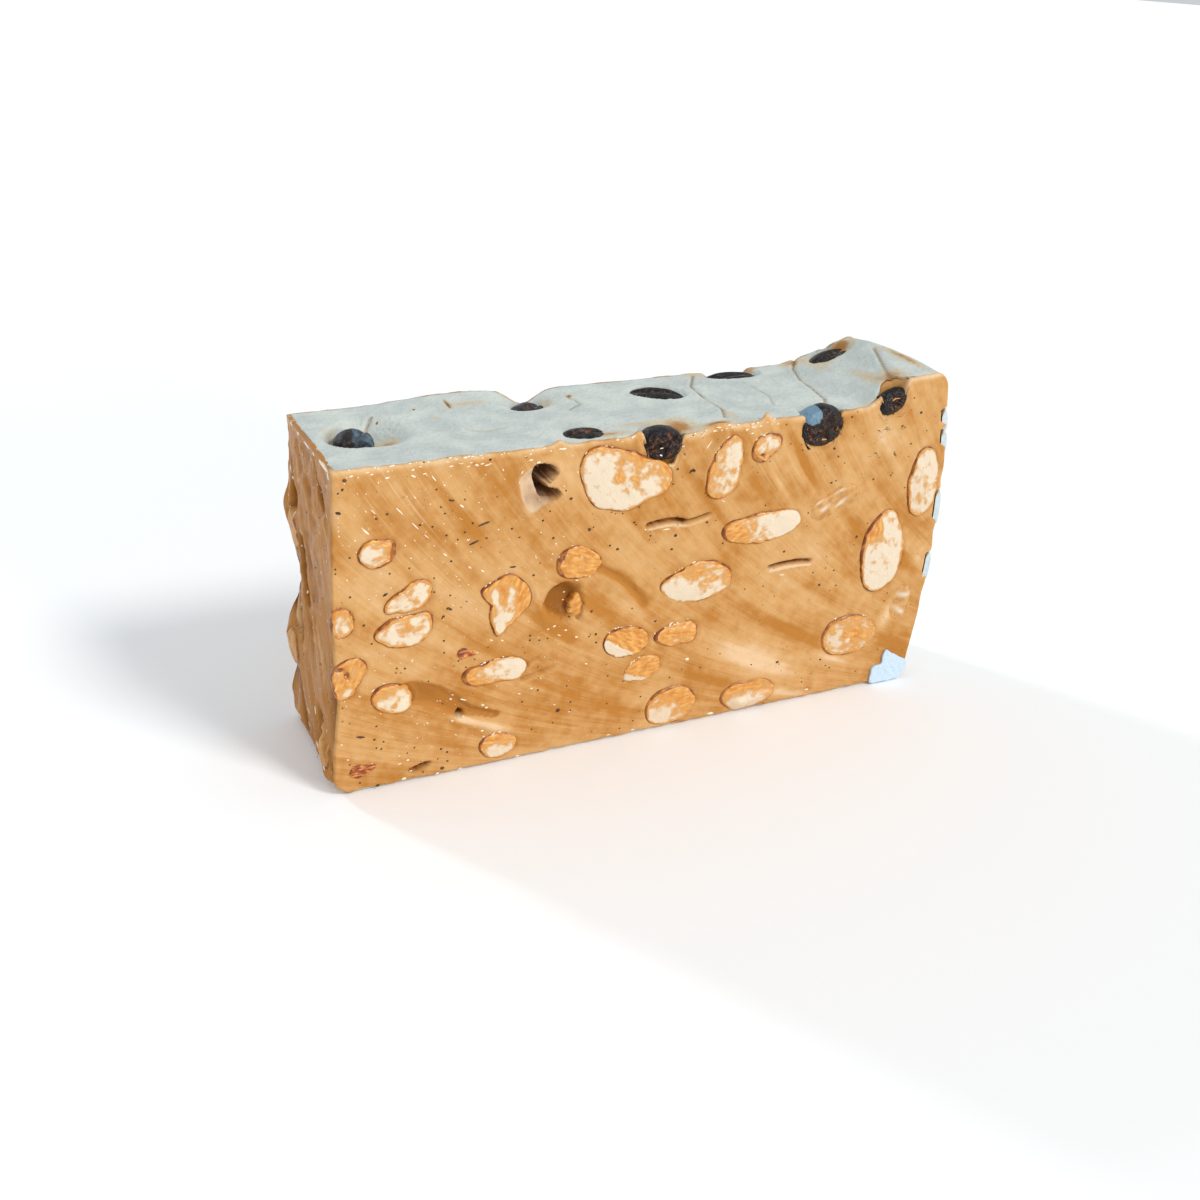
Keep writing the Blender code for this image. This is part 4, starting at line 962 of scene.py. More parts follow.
def nut_piece(name, node, nut, lie, place, turned, tilt, browning, smear, thick, seed,
              patches=(), bevels=(), proud=0.3, wiped=(), dents=(), material=kernel,
              depth_scale=1.0):
    """A cut nut as rings round its middle.

    Face: outline times ring share, raised by a low crown, small lumps and bevels, rounded off
    within 0.35 mm of the outline. Skirt: the outline drawn in as it goes deeper.
    """
    angle = np.linspace(0.0, 2.0 * np.pi, SIDES, endpoint=False)
    rows = np.arange(SIDES)
    edge = reach(nut[2], angle) + 0.16 + 0.12 * grain(rows / 6.0, rows * 0.0, seed)
    edge = edge + 0.07 * grain(rows / 2.5, rows * 0.0, seed + 1)
    share = np.concatenate((FACE_RINGS, [ring for ring, _ in SKIRT_RINGS]))[:, None]
    du = np.concatenate(([0.0], (share * edge * np.cos(angle)).ravel(), [0.0]))
    dv = np.concatenate(([0.0], (share * edge * np.sin(angle)).ravel(), [0.0]))
    inward = (1.0 - np.minimum(share, 1.0)) * edge
    in_edge = np.concatenate(([edge.min()], inward.ravel(), [0.0]))
    raised = proud * ramp(in_edge, 0.0, 0.4) + 0.12 * ramp(in_edge, 0.3, 3.0) - 0.3 * (in_edge < 1e-6)
    raised = raised + 0.1 * rough(du + 9.0 * seed, dv, 2.2, 500 + seed)
    toast, slope, towards = browning
    c, s = heading(towards)
    brown = toast + slope * (du * c + dv * s) / edge.mean()
    for u0, v0, wide, tall, height in patches:
        brown = brown + height * np.exp(-((du - u0) / wide) ** 2 - ((dv - v0) / tall) ** 2)
    for towards, start, fall, bleach in bevels:
        c, s = heading(towards)
        beyond = np.clip(du * c + dv * s - start, 0.0, None)
        raised = raised - fall * beyond
        brown = brown + bleach * ramp(beyond, 0.0, 0.25)
    hollow = np.zeros(len(du))
    for u0, v0, wide, tall, deep in dents:
        dent = 1.0 - ramp(np.hypot((du - u0) / wide, (dv - v0) / tall), 0.3, 1.1)
        raised = raised - deep * dent
        hollow = np.maximum(hollow, dent)
    cover = np.full(len(du), smear)
    for u0, v0, wide, tall, turn in wiped:
        c, s = heading(turn)
        along, across = (du - u0) * c + (dv - v0) * s, (dv - v0) * c - (du - u0) * s
        cover = cover * (1.0 - np.exp(-(along / wide) ** 2 - (across / tall) ** 2))
    skirt = np.zeros(len(du))
    skirt[1 + len(FACE_RINGS) * SIDES:-1] = np.repeat([deep for _, deep in SKIRT_RINGS], SIDES)
    skirt[-1] = NUT_DEPTH
    level = np.where(skirt > 0.0, skirt * depth_scale + 0.3, -raised)
    band = 0.3 + 0.26 * grain(rows / 4.0, rows * 0.0, seed + 3) if thick else angle * 0.0 - 1.0
    for towards, spread, width in thick:
        off = np.angle(np.exp(1j * (angle - math.radians(towards))))
        band = np.maximum(band, width * hump(np.degrees(off), 0.0, spread))
    skin = np.concatenate(([-9.0], (band - inward).ravel(), [1.0]))
    # Inside a dent the colour runs towards the skin's brown: painted shade in the hole.
    skin = np.where(hollow > 0.05, np.maximum(skin, 0.4 * hollow - 0.2), skin)
    c, s = heading(tilt)
    uv = np.stack((du * c + dv * s + 17.0 * seed, dv * c - du * s), axis=-1)
    quads, tris = ring_faces(len(share), SIDES)
    if turned:
        quads, tris = quads[:, ::-1], tris[:, ::-1]
    u, v = nut[0] + du, nut[1] + dv
    return new_piece(name, place(u, v, lie(u, v) + level), quads, tris, material, [node],
                     {"toast": brown, "smear": cover, "skin": skin}, uv)


def on_front_cut(u, v, level):
    """Points on the front cut, at a level in millimetres into the bar."""
    return np.stack((u, -HALF_DEPTH + level, v), axis=-1)


def on_back_cut(u, v, level):
    """The same on the back cut."""
    return np.stack((u, HALF_DEPTH - level, v), axis=-1)


def on_left_end(u, v, level):
    """The same on the left end."""
    return np.stack((left_line(u, v) + level, u, v), axis=-1)


def flat(u, v):
    """The lie of a nut in the left end."""
    return np.zeros(np.shape(u))


def torn_waves(u, v):
    """The lie of a nut that was torn back into the front cut."""
    return front_waves(u, v) + TORN_DEPTH


TORN_NUT = 11
TORN_DEPTH = 1.1
# How proud of the cut the nuts stand, in millimetres: most of them, and the others.
NUT_PROUD = 0.28
PROUD = {11: 0.4, 16: 0.03, 21: 0.22, 22: 0.16, 23: 0.18, 26: 0.03}
for number, (row, nut) in enumerate(zip(FRONT_ALMONDS, front_nuts), start=1):
    _, tilt, browning, smear, thick = row
    patches, bevels, wiped, dents = ([entry[1:] for entry in table if entry[0] == number]
                                     for table in (FACE_PATCHES, BEVELS, WIPED, DENTS))
    nut_piece(f"front_almond_{number}", f"almond_front_{number}", nut,
              torn_waves if number == TORN_NUT else front_waves, on_front_cut, False, tilt,
              browning, smear, thick, number, patches, bevels, PROUD.get(number, NUT_PROUD),
              wiped, dents)
for number, (row, nut) in enumerate(zip(BACK_ALMONDS, back_nuts), start=1):
    browning = (0.25 + 0.12 * (number % 4), 0.25, 67 * number % 360)
    thick = ((97 * number % 360, 40, 0.4 + 0.2 * (number % 3)),)
    nut_piece(f"back_almond_{number}", f"almond_back_{number}", nut, back_waves, on_back_cut,
              True, row[2], browning, 0.0, thick, 40 + number)
for number, (row, nut) in enumerate(zip(END_ALMONDS, end_nuts), start=1):
    nut_piece(f"end_almond_{number}", f"almond_end_{number}", nut, flat, on_left_end, True,
              row[2], (0.9, 0.1, 90), 0.45, ((60, 60, 0.5),), 70 + number, proud=0.2)

# ---------------------------------------------------------------------------------- skin scraps
# Shreds of roasted almond skin that came loose and were caught in the cut: thin, red-brown,
# leathery and a little glossy, with a torn edge.
husk, shader = new_material("loose_almond_skin", Roughness=0.35)
coords = add_node(husk, "TexCoord", {}, {})
veins = add_node(husk, "Mapping", {}, {"Vector": coords["Object"], "Scale": (900.0, 900.0, 2200.0)})[0]
veins = add_node(husk, "TexNoise", {}, {"Vector": veins, "Scale": 1.0, "Detail": 4.0})[0]
brown = add_node(husk, "MapRange", SMOOTH, {"Value": veins, "From Min": 0.35, "From Max": 0.6})[0]
flesh = add_node(husk, "MapRange", SMOOTH, {"Value": veins, "From Min": 0.52, "From Max": 0.66})[0]
colour = add_node(husk, "Mix", COLOURS, {0: brown, 6: "#6A2A0C", 7: "#B45C1E"})[2]
colour = add_node(husk, "Mix", COLOURS, {0: flesh, 6: colour, 7: "#DC9040"})[2]
link_to(husk, shader.inputs["Base Color"], colour)
bump = add_node(husk, "Bump", {}, {"Height": veins, "Strength": 0.7, "Distance": 0.0005})[0]
link_to(husk, shader.inputs["Normal"], bump)
for number, (row, nut) in enumerate(zip(SCRAPS, scrap_nuts), start=1):
    nut_piece(f"loose_skin_{number}", f"skin_scrap_{number}", nut, front_waves, on_front_cut,
              False, row[2], (0.0, 0.0, 0), 0.0, (), 80 + number, proud=0.1, material=husk,
              depth_scale=0.45)

# ---------------------------------------------------------------------------------- coffee beans
# Roasted coffee beans, pressed into the top while it was warm. Dark brown with an oily bloom, a
# domed back and a flatter side with a folded crease; the knife broke open the three at the front.
bean_skin, shader = new_material("dark_roast_coffee_bean", Roughness=0.22, Specular_IOR_Level=0.3)
coords = add_node(bean_skin, "TexCoord", {}, {})
mottle = add_node(bean_skin, "TexNoise", {}, {"Vector": coords["Object"], "Scale": 500.0,
                                              "Detail": 4.0})[0]
crumb = add_node(bean_skin, "TexNoise", {}, {"Vector": coords["Object"], "Scale": 1000.0,
                                             "Detail": 4.0})[0]
broken = add_node(bean_skin, "Attribute", {"attribute_name": "broken"}, {})["Fac"]
share = add_node(bean_skin, "MapRange", SMOOTH, {"Value": mottle, "From Min": 0.3, "From Max": 0.7})[0]
colour = add_node(bean_skin, "Mix", COLOURS, {0: share, 6: "#080506", 7: "#1A1114"})[2]
share = add_node(bean_skin, "MapRange", SMOOTH, {"Value": crumb, "From Min": 0.5, "From Max": 0.74})[0]
inside = add_node(bean_skin, "Mix", COLOURS, {0: share, 6: "#20110A", 7: "#7E4C2A"})[2]
colour = add_node(bean_skin, "Mix", COLOURS, {0: broken, 6: colour, 7: inside})[2]
# Steel-blue patches: painted reflection of the cool sky on the beans' upper sides.
sky_sheen = add_node(bean_skin, "Attribute", {"attribute_name": "sky_sheen"}, {})["Fac"]
sky_sheen = add_node(bean_skin, "Math", ADD_SCALED, {0: mottle, 1: 0.7, 2: sky_sheen})[0]
sky_sheen = add_node(bean_skin, "MapRange", SMOOTH, {"Value": sky_sheen, "From Min": 0.6, "From Max": 1.1})[0]
colour = add_node(bean_skin, "Mix", COLOURS, {0: sky_sheen, 6: colour, 7: "#6F8FA4"})[2]
link_to(bean_skin, shader.inputs["Base Color"], colour)
bump = add_node(bean_skin, "Bump", {}, {"Height": crumb, "Strength": 1.0, "Distance": 0.0007})[0]
link_to(bean_skin, shader.inputs["Normal"], bump)

BEAN_ROWS, BEAN_SIDES = 44, 48
# Steel-blue patches on a bean's upper side, painted reflection of the cool sky: bean, right, up, radius,
# strength.
SKY_SHEENS = ((7, -2.8, 3.2, 2.4, 0.72), (3, 1.8, 1.4, 3.0, 0.22), (1, 1.8, 0.6, 3.0, 0.42),
         (8, 1.0, 1.6, 1.8, 0.25))
MOTTLED_BEAN = 3


def bean_piece(number):
    """A coffee bean as rings along its length.

    Ring radius follows a flattened sine; the upper side is flatter, with a crease along it. A cut
    bean is pressed flat to a craggy face at the front.
    """
    half_length, half_width, half_height, turn, tilt, lean, inset = BEANS[number - 1]
    polar = np.linspace(0.0, np.pi, BEAN_ROWS + 2)[1:-1][:, None]
    around = np.linspace(0.0, 2.0 * np.pi, BEAN_SIDES, endpoint=False)[None, :]
    girth = np.sin(polar) ** 0.85
    bent = 0.5 * np.pi + 0.16 * np.sin(2.0 * polar)
    crease = 1.0 - 0.55 * hump(around, bent, 0.27) * np.sin(polar)
    folded = hump(around, bent - 0.06, 0.15) * np.sin(polar) ** 0.5
    flatter = np.where(np.sin(around) > 0.0, 0.78, 1.0)
    along = -half_length * np.cos(polar) * np.ones_like(around)
    side = half_width * girth * np.cos(around)
    up = half_height * girth * np.sin(around) * crease * flatter
    shape = np.stack((along, side, up), axis=-1).reshape(-1, 3)
    shape = np.concatenate(([(-half_length, 0.0, 0.0)], shape, [(half_length, 0.0, 0.0)]))
    shape = shape * (1.0 + 0.02 * rough(shape[:, :1] + 7.0 * number, shape[:, 1:2], 2.0, 600 + number))
    spin = Matrix.Rotation(math.radians(turn), 3, "Z")
    spin = spin @ Matrix.Rotation(math.radians(-tilt), 3, "Y")
    spin = spin @ Matrix.Rotation(math.radians(lean), 3, "X")
    points = shape @ np.array(spin).T + BEAN_MIDDLES[number - 1]
    broken = np.concatenate(([0.0], 0.9 * folded.ravel(), [0.0]))
    if number == MOTTLED_BEAN:
        broken = 0.5 + 0.7 * rough(points[:, 0], points[:, 2] - points[:, 1], 1.5, 630)
        broken = np.clip(broken, 0.0, 1.0)
    if inset is not None:
        crag = 0.7 * rough(points[:, 0], points[:, 2], 1.8, 620 + number, 4)
        crag = crag + 0.3 * rough(points[:, 0], points[:, 2], 0.8, 640 + number)
        plane = -HALF_DEPTH - 0.05 + crag
        broken = np.maximum(broken, ramp(plane - points[:, 1], 0.0, 0.15))
        points[:, 1] = np.maximum(points[:, 1], plane)
    else:
        points[:, 1] = np.clip(points[:, 1], -HALF_DEPTH - 0.2, HALF_DEPTH + 0.2)
    sky_sheen = np.zeros(len(points))
    middle = BEAN_MIDDLES[number - 1]
    for bean, u0, v0, size, strength in SKY_SHEENS:
        if bean == number:
            off = np.hypot(points[:, 0] - middle[0] - u0, points[:, 2] - middle[2] - v0) / size
            sky_sheen = np.maximum(sky_sheen, strength * (1.0 - ramp(off, 0.8, 1.05)))
    quads, tris = ring_faces(BEAN_ROWS, BEAN_SIDES)
    new_piece(f"roast_bean_{number}", points, quads[:, ::-1], tris[:, ::-1], bean_skin,
              [f"coffee_bean_{number}"], {"broken": broken, "sky_sheen": sky_sheen})


for number in range(1, len(BEANS) + 1):
    bean_piece(number)

# ---------------------------------------------------------------------------------- edible wafer
# Edible wafer: one thin sheet of white starch paper laid on the warm slab, now the top and the
# right end. It is matt and faintly blue-white, creased, and stained tan where fat soaked through.
wafer, shader = new_material("starch_wafer_paper", Roughness=0.75, Specular_IOR_Level=0.3)
coords = add_node(wafer, "TexCoord", {}, {})
fog = add_node(wafer, "TexNoise", {}, {"Vector": coords["Object"], "Scale": 160.0, "Detail": 4.0})[0]
flecks = add_node(wafer, "TexNoise", {}, {"Vector": coords["Object"], "Scale": 900.0, "Detail": 4.0})[0]
stain = add_node(wafer, "Attribute", {"attribute_name": "stain"}, {})["Fac"]
share = add_node(wafer, "MapRange", SMOOTH, {"Value": fog, "From Min": 0.3, "From Max": 0.7})[0]
colour = add_node(wafer, "Mix", COLOURS, {0: share, 6: "#B9C0BB", 7: "#CDD2CC"})[2]
# Paper with stain below -0.7 is painted a lighter, bluer white: partly bare paper, partly painted cool
# sky light.
bare_and_sky_lit = add_node(wafer, "MapRange", SMOOTH, {"Value": stain, "From Min": -0.7, "From Max": -0.9})[0]
colour = add_node(wafer, "Mix", COLOURS, {0: bare_and_sky_lit, 6: colour, 7: "#C3D6E8"})[2]
soak = add_node(wafer, "Math", ADD_SCALED, {0: flecks, 1: 0.5, 2: stain})[0]
soak = add_node(wafer, "Math", ADD_SCALED, {0: fog, 1: 0.4, 2: soak})[0]
for start, end, tint in ((0.55, 0.95, "#C9BCA2"), (0.95, 1.5, "#AE7C44"), (1.55, 1.9, "#614023")):
    share = add_node(wafer, "MapRange", SMOOTH, {"Value": soak, "From Min": start,
                                                 "From Max": end})[0]
    colour = add_node(wafer, "Mix", COLOURS, {0: share, 6: colour, 7: tint})[2]
# Thin dark grey lines along the folds: painted shade in the creases.
crease = add_node(wafer, "Attribute", {"attribute_name": "crease"}, {})["Fac"]
colour = add_node(wafer, "Mix", COLOURS, {0: crease, 6: colour, 7: "#7D7263"})[2]
link_to(wafer, shader.inputs["Base Color"], colour)
relief = add_node(wafer, "Math", ADD_SCALED, {0: flecks, 1: 1.0, 2: fog})[0]
bump = add_node(wafer, "Bump", {}, {"Height": relief, "Strength": 0.8, "Distance": 0.0006})[0]
link_to(wafer, shader.inputs["Normal"], bump)

# Tan patches in the wafer, the first two darkening the walls of the bowl round the first bean: along,
# across, half length, half width, strength.
STAINS = (
    (-60.0, 4.0, 4.6, 3.0, 0.65), (-54.2, 0.0, 3.0, 2.6, 1.1), (-33.0, 10.5, 4.5, 1.0, 0.75),
    (-34.0, -4.2, 4.6, 1.4, 0.2), (-37.0, 11.5, 0.4, 1.7, 1.3), (-16.0, 10.0, 3.0, 4.0, 0.45),
    (-21.5, 16.5, 3.0, 1.6, 0.8), (-9.8, 10.5, 0.7, 0.7, 1.4), (-12.5, -14.5, 5.0, 1.6, 0.85),
    (4.5, -13.5, 3.2, 3.6, 1.1), (-3.0, -10.6, 6.0, 1.2, 0.6), (12.5, -15.3, 3.6, 1.2, 1.2),
    (17.6, -12.0, 1.2, 3.0, 0.5), (27.0, 15.5, 7.0, 1.6, 0.6), (38.5, 16.5, 2.4, 1.2, 0.9),
    (57.0, 12.0, 6.5, 4.0, 0.75), (61.5, 15.0, 3.0, 2.0, 1.0), (54.8, -8.0, 1.4, 9.0, 0.55),
    (57.6, -13.0, 2.4, 4.0, 0.8), (64.6, -6.0, 1.2, 8.5, 0.95), (48.5, 15.5, 3.0, 1.6, 0.7),
    (49.0, -15.0, 3.0, 1.5, 0.3), (-41.5, 5.0, 0.8, 0.6, 0.8), (52.0, 7.0, 2.0, 3.0, 0.3),
    (-53.0, 8.0, 0.3, 0.3, 2.0), (-44.5, 10.5, 0.35, 0.35, 2.0),
)
CORNER_X = 65.0
CORNER_RADIUS = 4.0
SHEET_ROWS = 66


def sheet_point(run, y):
    """A point of the sheet's outer side: run is its way along the top, round the corner and down
    the right end, in millimetres."""
    corner_top = top_level(np.full(np.shape(y), CORNER_X), y)
    bend = np.clip(run - CORNER_X, 0.0, CORNER_RADIUS * np.pi / 2.0) / CORNER_RADIUS
    down = np.clip(run - CORNER_X - CORNER_RADIUS * np.pi / 2.0, 0.0, None)
    z_end = np.maximum(corner_top - CORNER_RADIUS - down, 2.6)
    end = right_line(y, z_end, wafer_side=True)
    start_end = right_line(y, corner_top - CORNER_RADIUS, wafer_side=True)
    x_bend = CORNER_X + (start_end - CORNER_X) * np.sin(bend)
    z_bend = corner_top - CORNER_RADIUS * (1.0 - np.cos(bend))
    z_top = top_level(np.minimum(run, CORNER_X), y)
    x = np.where(down > 0.0, end, np.where(bend > 0.0, x_bend, run))
    z = np.where(down > 0.0, z_end, np.where(bend > 0.0, z_bend, z_top))
    return x, z


def thin_sheet_faces(shape):
    """Quads of a thin closed sheet: upper grid, lower grid turned over, then the rim; its length."""
    upper = np.arange(shape[0] * shape[1]).reshape(shape)
    lower = upper + upper.size
    rim_up, rim_low = border_loop(upper), border_loop(lower)
    rim = np.stack((rim_up, rim_low, np.roll(rim_low, -1), np.roll(rim_up, -1)), axis=-1)
    return np.concatenate((grid_quads(upper), grid_quads(lower)[:, ::-1], rim)), len(rim)


NO_TRIANGLES = np.zeros((0, 3), dtype=int)
CORNER_RUN = 6.28
run = np.concatenate((np.linspace(LEFT_FOOT + LEFT_LEAN + 0.6, CORNER_X, 250, endpoint=False),
                      np.linspace(CORNER_X, CORNER_X + CORNER_RUN, 12, endpoint=False),
                      np.linspace(CORNER_X + CORNER_RUN, CORNER_X + 75.5, 124)))
share = np.linspace(0.0, 1.0, SHEET_ROWS)
run, share = np.meshgrid(run, share, indexing="ij")
top_part = run < CORNER_X + 5.0
down_z = TOP + 7.5 - CORNER_RADIUS - (run - CORNER_X - CORNER_RUN)
bare = np.where(top_part, rim_width(run) - 0.1, 0.06 + 0.6 * smeared_over(down_z))
bare = bare + np.where(top_part, 0.12 * grain(run / 0.9, run * 0.0, 701), 0.0)
for number in CUT_BEANS:
    bare = bare + 4.6 * hump(run, BEAN_MIDDLES[number - 1][0], 0.8 * BEANS[number - 1][0])
front_y = -HALF_DEPTH + np.clip(bare, 0.05, 5.0)
back_y = HALF_DEPTH - 0.55 - 0.25 * np.abs(rough(run, run * 0.0, 4.0, 703))
ragged = 0.25 * grain(share * 17.0, share * 0.0, 705) * (1.0 - ramp(run, run.min(), run.min() + 1.2))
y = front_y + share * (back_y - front_y)
outer_x, outer_z = sheet_point(run, y)
outer = np.stack((outer_x - ragged, y, outer_z), axis=-1)
step_run = np.gradient(outer, axis=0)
inward = np.stack((step_run[..., 2], 0.0 * y, -step_run[..., 0]), axis=-1)
inward = inward / np.linalg.norm(inward, axis=-1, keepdims=True)
turned_in = np.where(top_part, 0.0, 1.0 - smeared_over(down_z)) * (1.0 - ramp(share, 0.0, 0.04))
inner = outer + inward * (0.42 + 1.1 * turned_in)[..., None]
quads, rim_count = thin_sheet_faces(outer.shape[:2])
x, y = outer[..., 0].ravel(), outer[..., 1].ravel()
on_top = (run < CORNER_X + 4.0).ravel()
stain = np.zeros(len(x))
for middle_x, middle_y, half_x, half_y, strength in STAINS:
    stain = stain + strength * np.exp(-((x - middle_x) / half_x) ** 2 - ((y - middle_y) / half_y) ** 2)
for path, depth in FOLDS:
    stain = stain + 0.7 * depth * stroke(x, y, path, 0.7)
# The folds' crease lines, drawn dark in the shader: painted shade in the creases.
crease = sum(min(1.0, 2.2 * depth) * stroke(x, y, path, 0.24) for path, depth in FOLDS)
crease = np.where(on_top, np.minimum(crease, 1.0), 0.0)
stain = np.where(on_top, stain, 0.25 + 0.3 * rough(y, outer[..., 2].ravel(), 9.0, 707))
# The turned-in slivers get part of the lighter, bluer bare-paper colour: painted cool sky light.
stain = np.where(turned_in.ravel() > 0.3, -0.78, stain)
points = np.concatenate((outer.reshape(-1, 3), inner.reshape(-1, 3)))
sheet = new_piece("wafer_sheet", points, quads, NO_TRIANGLES, wafer, ["wafer_top"],
                  {"stain": np.tile(stain, 2), "crease": np.tile(crease, 2)})
sheet.data.polygons.foreach_set("use_smooth", np.arange(len(quads)) < len(quads) - rim_count)

# The second sheet, under the foot: the same paper, flat, its edges just inside the paste.
foot_x = np.linspace(LEFT_FOOT + 3.6, RIGHT_EDGE - 3.4, 120)
foot_y = np.linspace(-HALF_DEPTH + 0.9, HALF_DEPTH - 0.9, 30)
foot_x, foot_y = np.meshgrid(foot_x, foot_y, indexing="ij")
low = np.stack((foot_x, foot_y, 0.0 * foot_x), axis=-1)
high = np.stack((foot_x, foot_y, 0.0 * foot_x + WAFER), axis=-1)
quads, _ = thin_sheet_faces(foot_x.shape)
stain = 0.2 + 0.35 * rough(foot_x, foot_y, 12.0, 711).ravel()
new_piece("wafer_foot", np.concatenate((high.reshape(-1, 3), low.reshape(-1, 3))), quads,
          NO_TRIANGLES, wafer, ["wafer_base"], {"stain": np.tile(stain, 2)})

# The torn corner of the foot sheet, turned up over the front: paler, with one ragged peak. How far
# its outline reaches every 15 degrees from the right, and how high its middle lies.
FLAP_REACH = (5.2, 5.1, 4.3, 3.9, 3.7, 3.9, 4.3, 5.5, 4.6, 3.3, 3.4, 5.1,
              5.3, 5.5, 6.0, 4.6, 3.7, 3.4, 3.3, 3.4, 3.8, 4.6, 4.6, 5.0)
FLAP_HEIGHT = 3.5
low, high = (np.array(corner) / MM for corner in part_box("wafer_corner"))
angle = np.linspace(0.0, 2.0 * np.pi, 96, endpoint=False)
edge = reach(FLAP_REACH, angle) + 0.1 * grain(angle * 9.0, angle * 0.0, 721)
rings = np.array((0.12, 0.25, 0.38, 0.5, 0.62, 0.73, 0.83, 0.91, 0.96, 1.0, 0.99, 0.9, 0.5))[:, None]
du, dv = rings * edge * np.cos(angle), rings * edge * np.sin(angle)
across = np.array((-0.5,) * 9 + (-0.3, 0.0, 0.25, 0.4))[:, None] + 0.0 * du
middle_x = (low[0] + high[0]) / 2.0 - SLIDE - 0.1
u = np.concatenate(([0.0], du.ravel(), [0.0])) + middle_x
v = np.concatenate(([0.0], dv.ravel(), [0.0])) + FLAP_HEIGHT
level = np.concatenate(([-0.5], across.ravel(), [0.4]))
level = level + np.where(level < -0.2, 0.1 * rough(u, v, 2.6, 723), 0.0)
v = np.maximum(v, 0.25)
beyond = np.maximum(u - right_line(0.0 * u - HALF_DEPTH, v) - 0.2, 0.0)
points = on_front_cut(u - beyond, v, level + 0.6 * ramp(beyond, 0.0, 0.8) + 0.15 * ramp(v, 6.0, 9.0))
quads, tris = ring_faces(len(rings), len(angle))
# The flap's stain of -1 gives it the lighter, bluer bare-paper colour: partly unstained paper, partly
# painted cool sky light.
new_piece("wafer_flap", points, quads, tris, wafer, ["wafer_corner"],
          {"stain": -1.0 + 0.0 * u})

# ---------------------------------------------------------------------------------- coffee grounds
# Ground coffee beaten through the paste: flecks of dark roast from dust to half a millimetre,
# which show in every cut. Each is a low faceted crumb, half sunk in the surface.
SEEN_GROUNDS = (
    (-66.6, 68.3, 0.42), (-67.1, 66.6, 0.34), (-68.3, 62.1, 0.4), (-58.8, 60.6, 0.3),
    (-60.9, 60.0, 0.28), (-49.1, 64.3, 0.26), (-47.5, 59.2, 0.24), (-52.5, 57.5, 0.3),
    (-50.0, 56.8, 0.26), (-47.2, 54.6, 0.3), (-43.5, 54.7, 0.26), (-41.9, 56.4, 0.3),
    (-39.0, 52.8, 0.26), (-38.3, 69.0, 0.32), (-46.3, 48.9, 0.28), (-66.3, 52.8, 0.26),
    (-58.7, 48.3, 0.26), (-59.7, 43.9, 0.34), (-66.6, 44.6, 0.28), (-47.0, 38.7, 0.4),
    (-48.0, 37.1, 0.34), (-64.2, 38.1, 0.34), (-48.0, 31.7, 0.26), (-48.0, 29.0, 0.26),
    (-56.2, 27.0, 0.3), (-62.5, 15.0, 0.26), (-63.0, 12.0, 0.3), (-61.7, 9.5, 0.26),
    (-68.3, 7.3, 0.26), (-66.4, 2.4, 0.26), (-62.7, 0.9, 0.4), (-48.9, 1.9, 0.5),
    (-47.7, 3.4, 0.3), (-47.7, 5.5, 0.3), (-49.0, 6.5, 0.3), (-65.8, 13.2, 0.36),
    (-21.2, 58.7, 0.42), (-16.9, 51.4, 0.46), (-10.3, 46.0, 0.44), (-12.1, 47.1, 0.3),
    (-33.7, 54.0, 0.28), (-32.1, 51.9, 0.26), (-27.1, 54.8, 0.3), (-24.8, 50.7, 0.32),
    (-29.0, 43.2, 0.32), (-6.8, 51.5, 0.3), (-2.8, 47.9, 0.28), (-15.7, 32.7, 0.36),
    (-29.5, 29.5, 0.28), (-29.5, 28.4, 0.28), (-27.4, 28.0, 0.26), (-14.5, 27.0, 0.34),
    (-14.3, 25.0, 0.34), (-27.5, 16.1, 0.3), (-22.8, 10.2, 0.55), (-19.9, 11.7, 0.28),
    (-31.0, 14.0, 0.26), (2.5, 62.0, 0.4), (3.0, 47.2, 0.42), (2.3, 44.1, 0.36),
    (10.4, 49.1, 0.34), (-0.5, 27.6, 0.36), (31.8, 11.3, 0.42), (44.1, 68.7, 0.34),
    (62.4, 67.8, 0.4), (59.9, 71.4, 0.3), (57.7, 65.2, 0.3), (40.5, 62.0, 0.34),
    (60.8, 60.8, 0.28), (40.9, 54.0, 0.34), (51.9, 53.5, 0.3), (49.4, 40.0, 0.42),
    (44.3, 32.5, 0.28), (40.8, 29.4, 0.4), (45.5, 28.5, 0.26), (43.5, 9.8, 0.3),
    (46.5, 7.0, 0.26), (30.5, 39.2, 0.34), (6.3, 61.2, 0.4),
)
# Long flakes: along, height, half length, slope in degrees.
SEEN_FLAKES = ((-46.1, 61.7, 0.7, -14), (-39.6, 55.9, 1.3, 12), (-41.7, 52.2, 1.2, 20),
               (-33.5, 45.7, 0.8, -4), (-68.3, 62.1, 0.6, -18), (5.8, 61.2, 0.9, 42),
               (-59.7, 43.9, 0.6, 35), (-46.5, 38.4, 0.5, -30), (-65.8, 13.2, 1.1, -10))
FRONT, BACK, LEFT = 0, 1, 2
# How far the dots keep from the left end and above the foot, in millimetres.
LEFT_MARGIN = 1.3
LOWEST = 0.3
GROUND_SIDES = 7
THICKEST_GROUND = 0.3


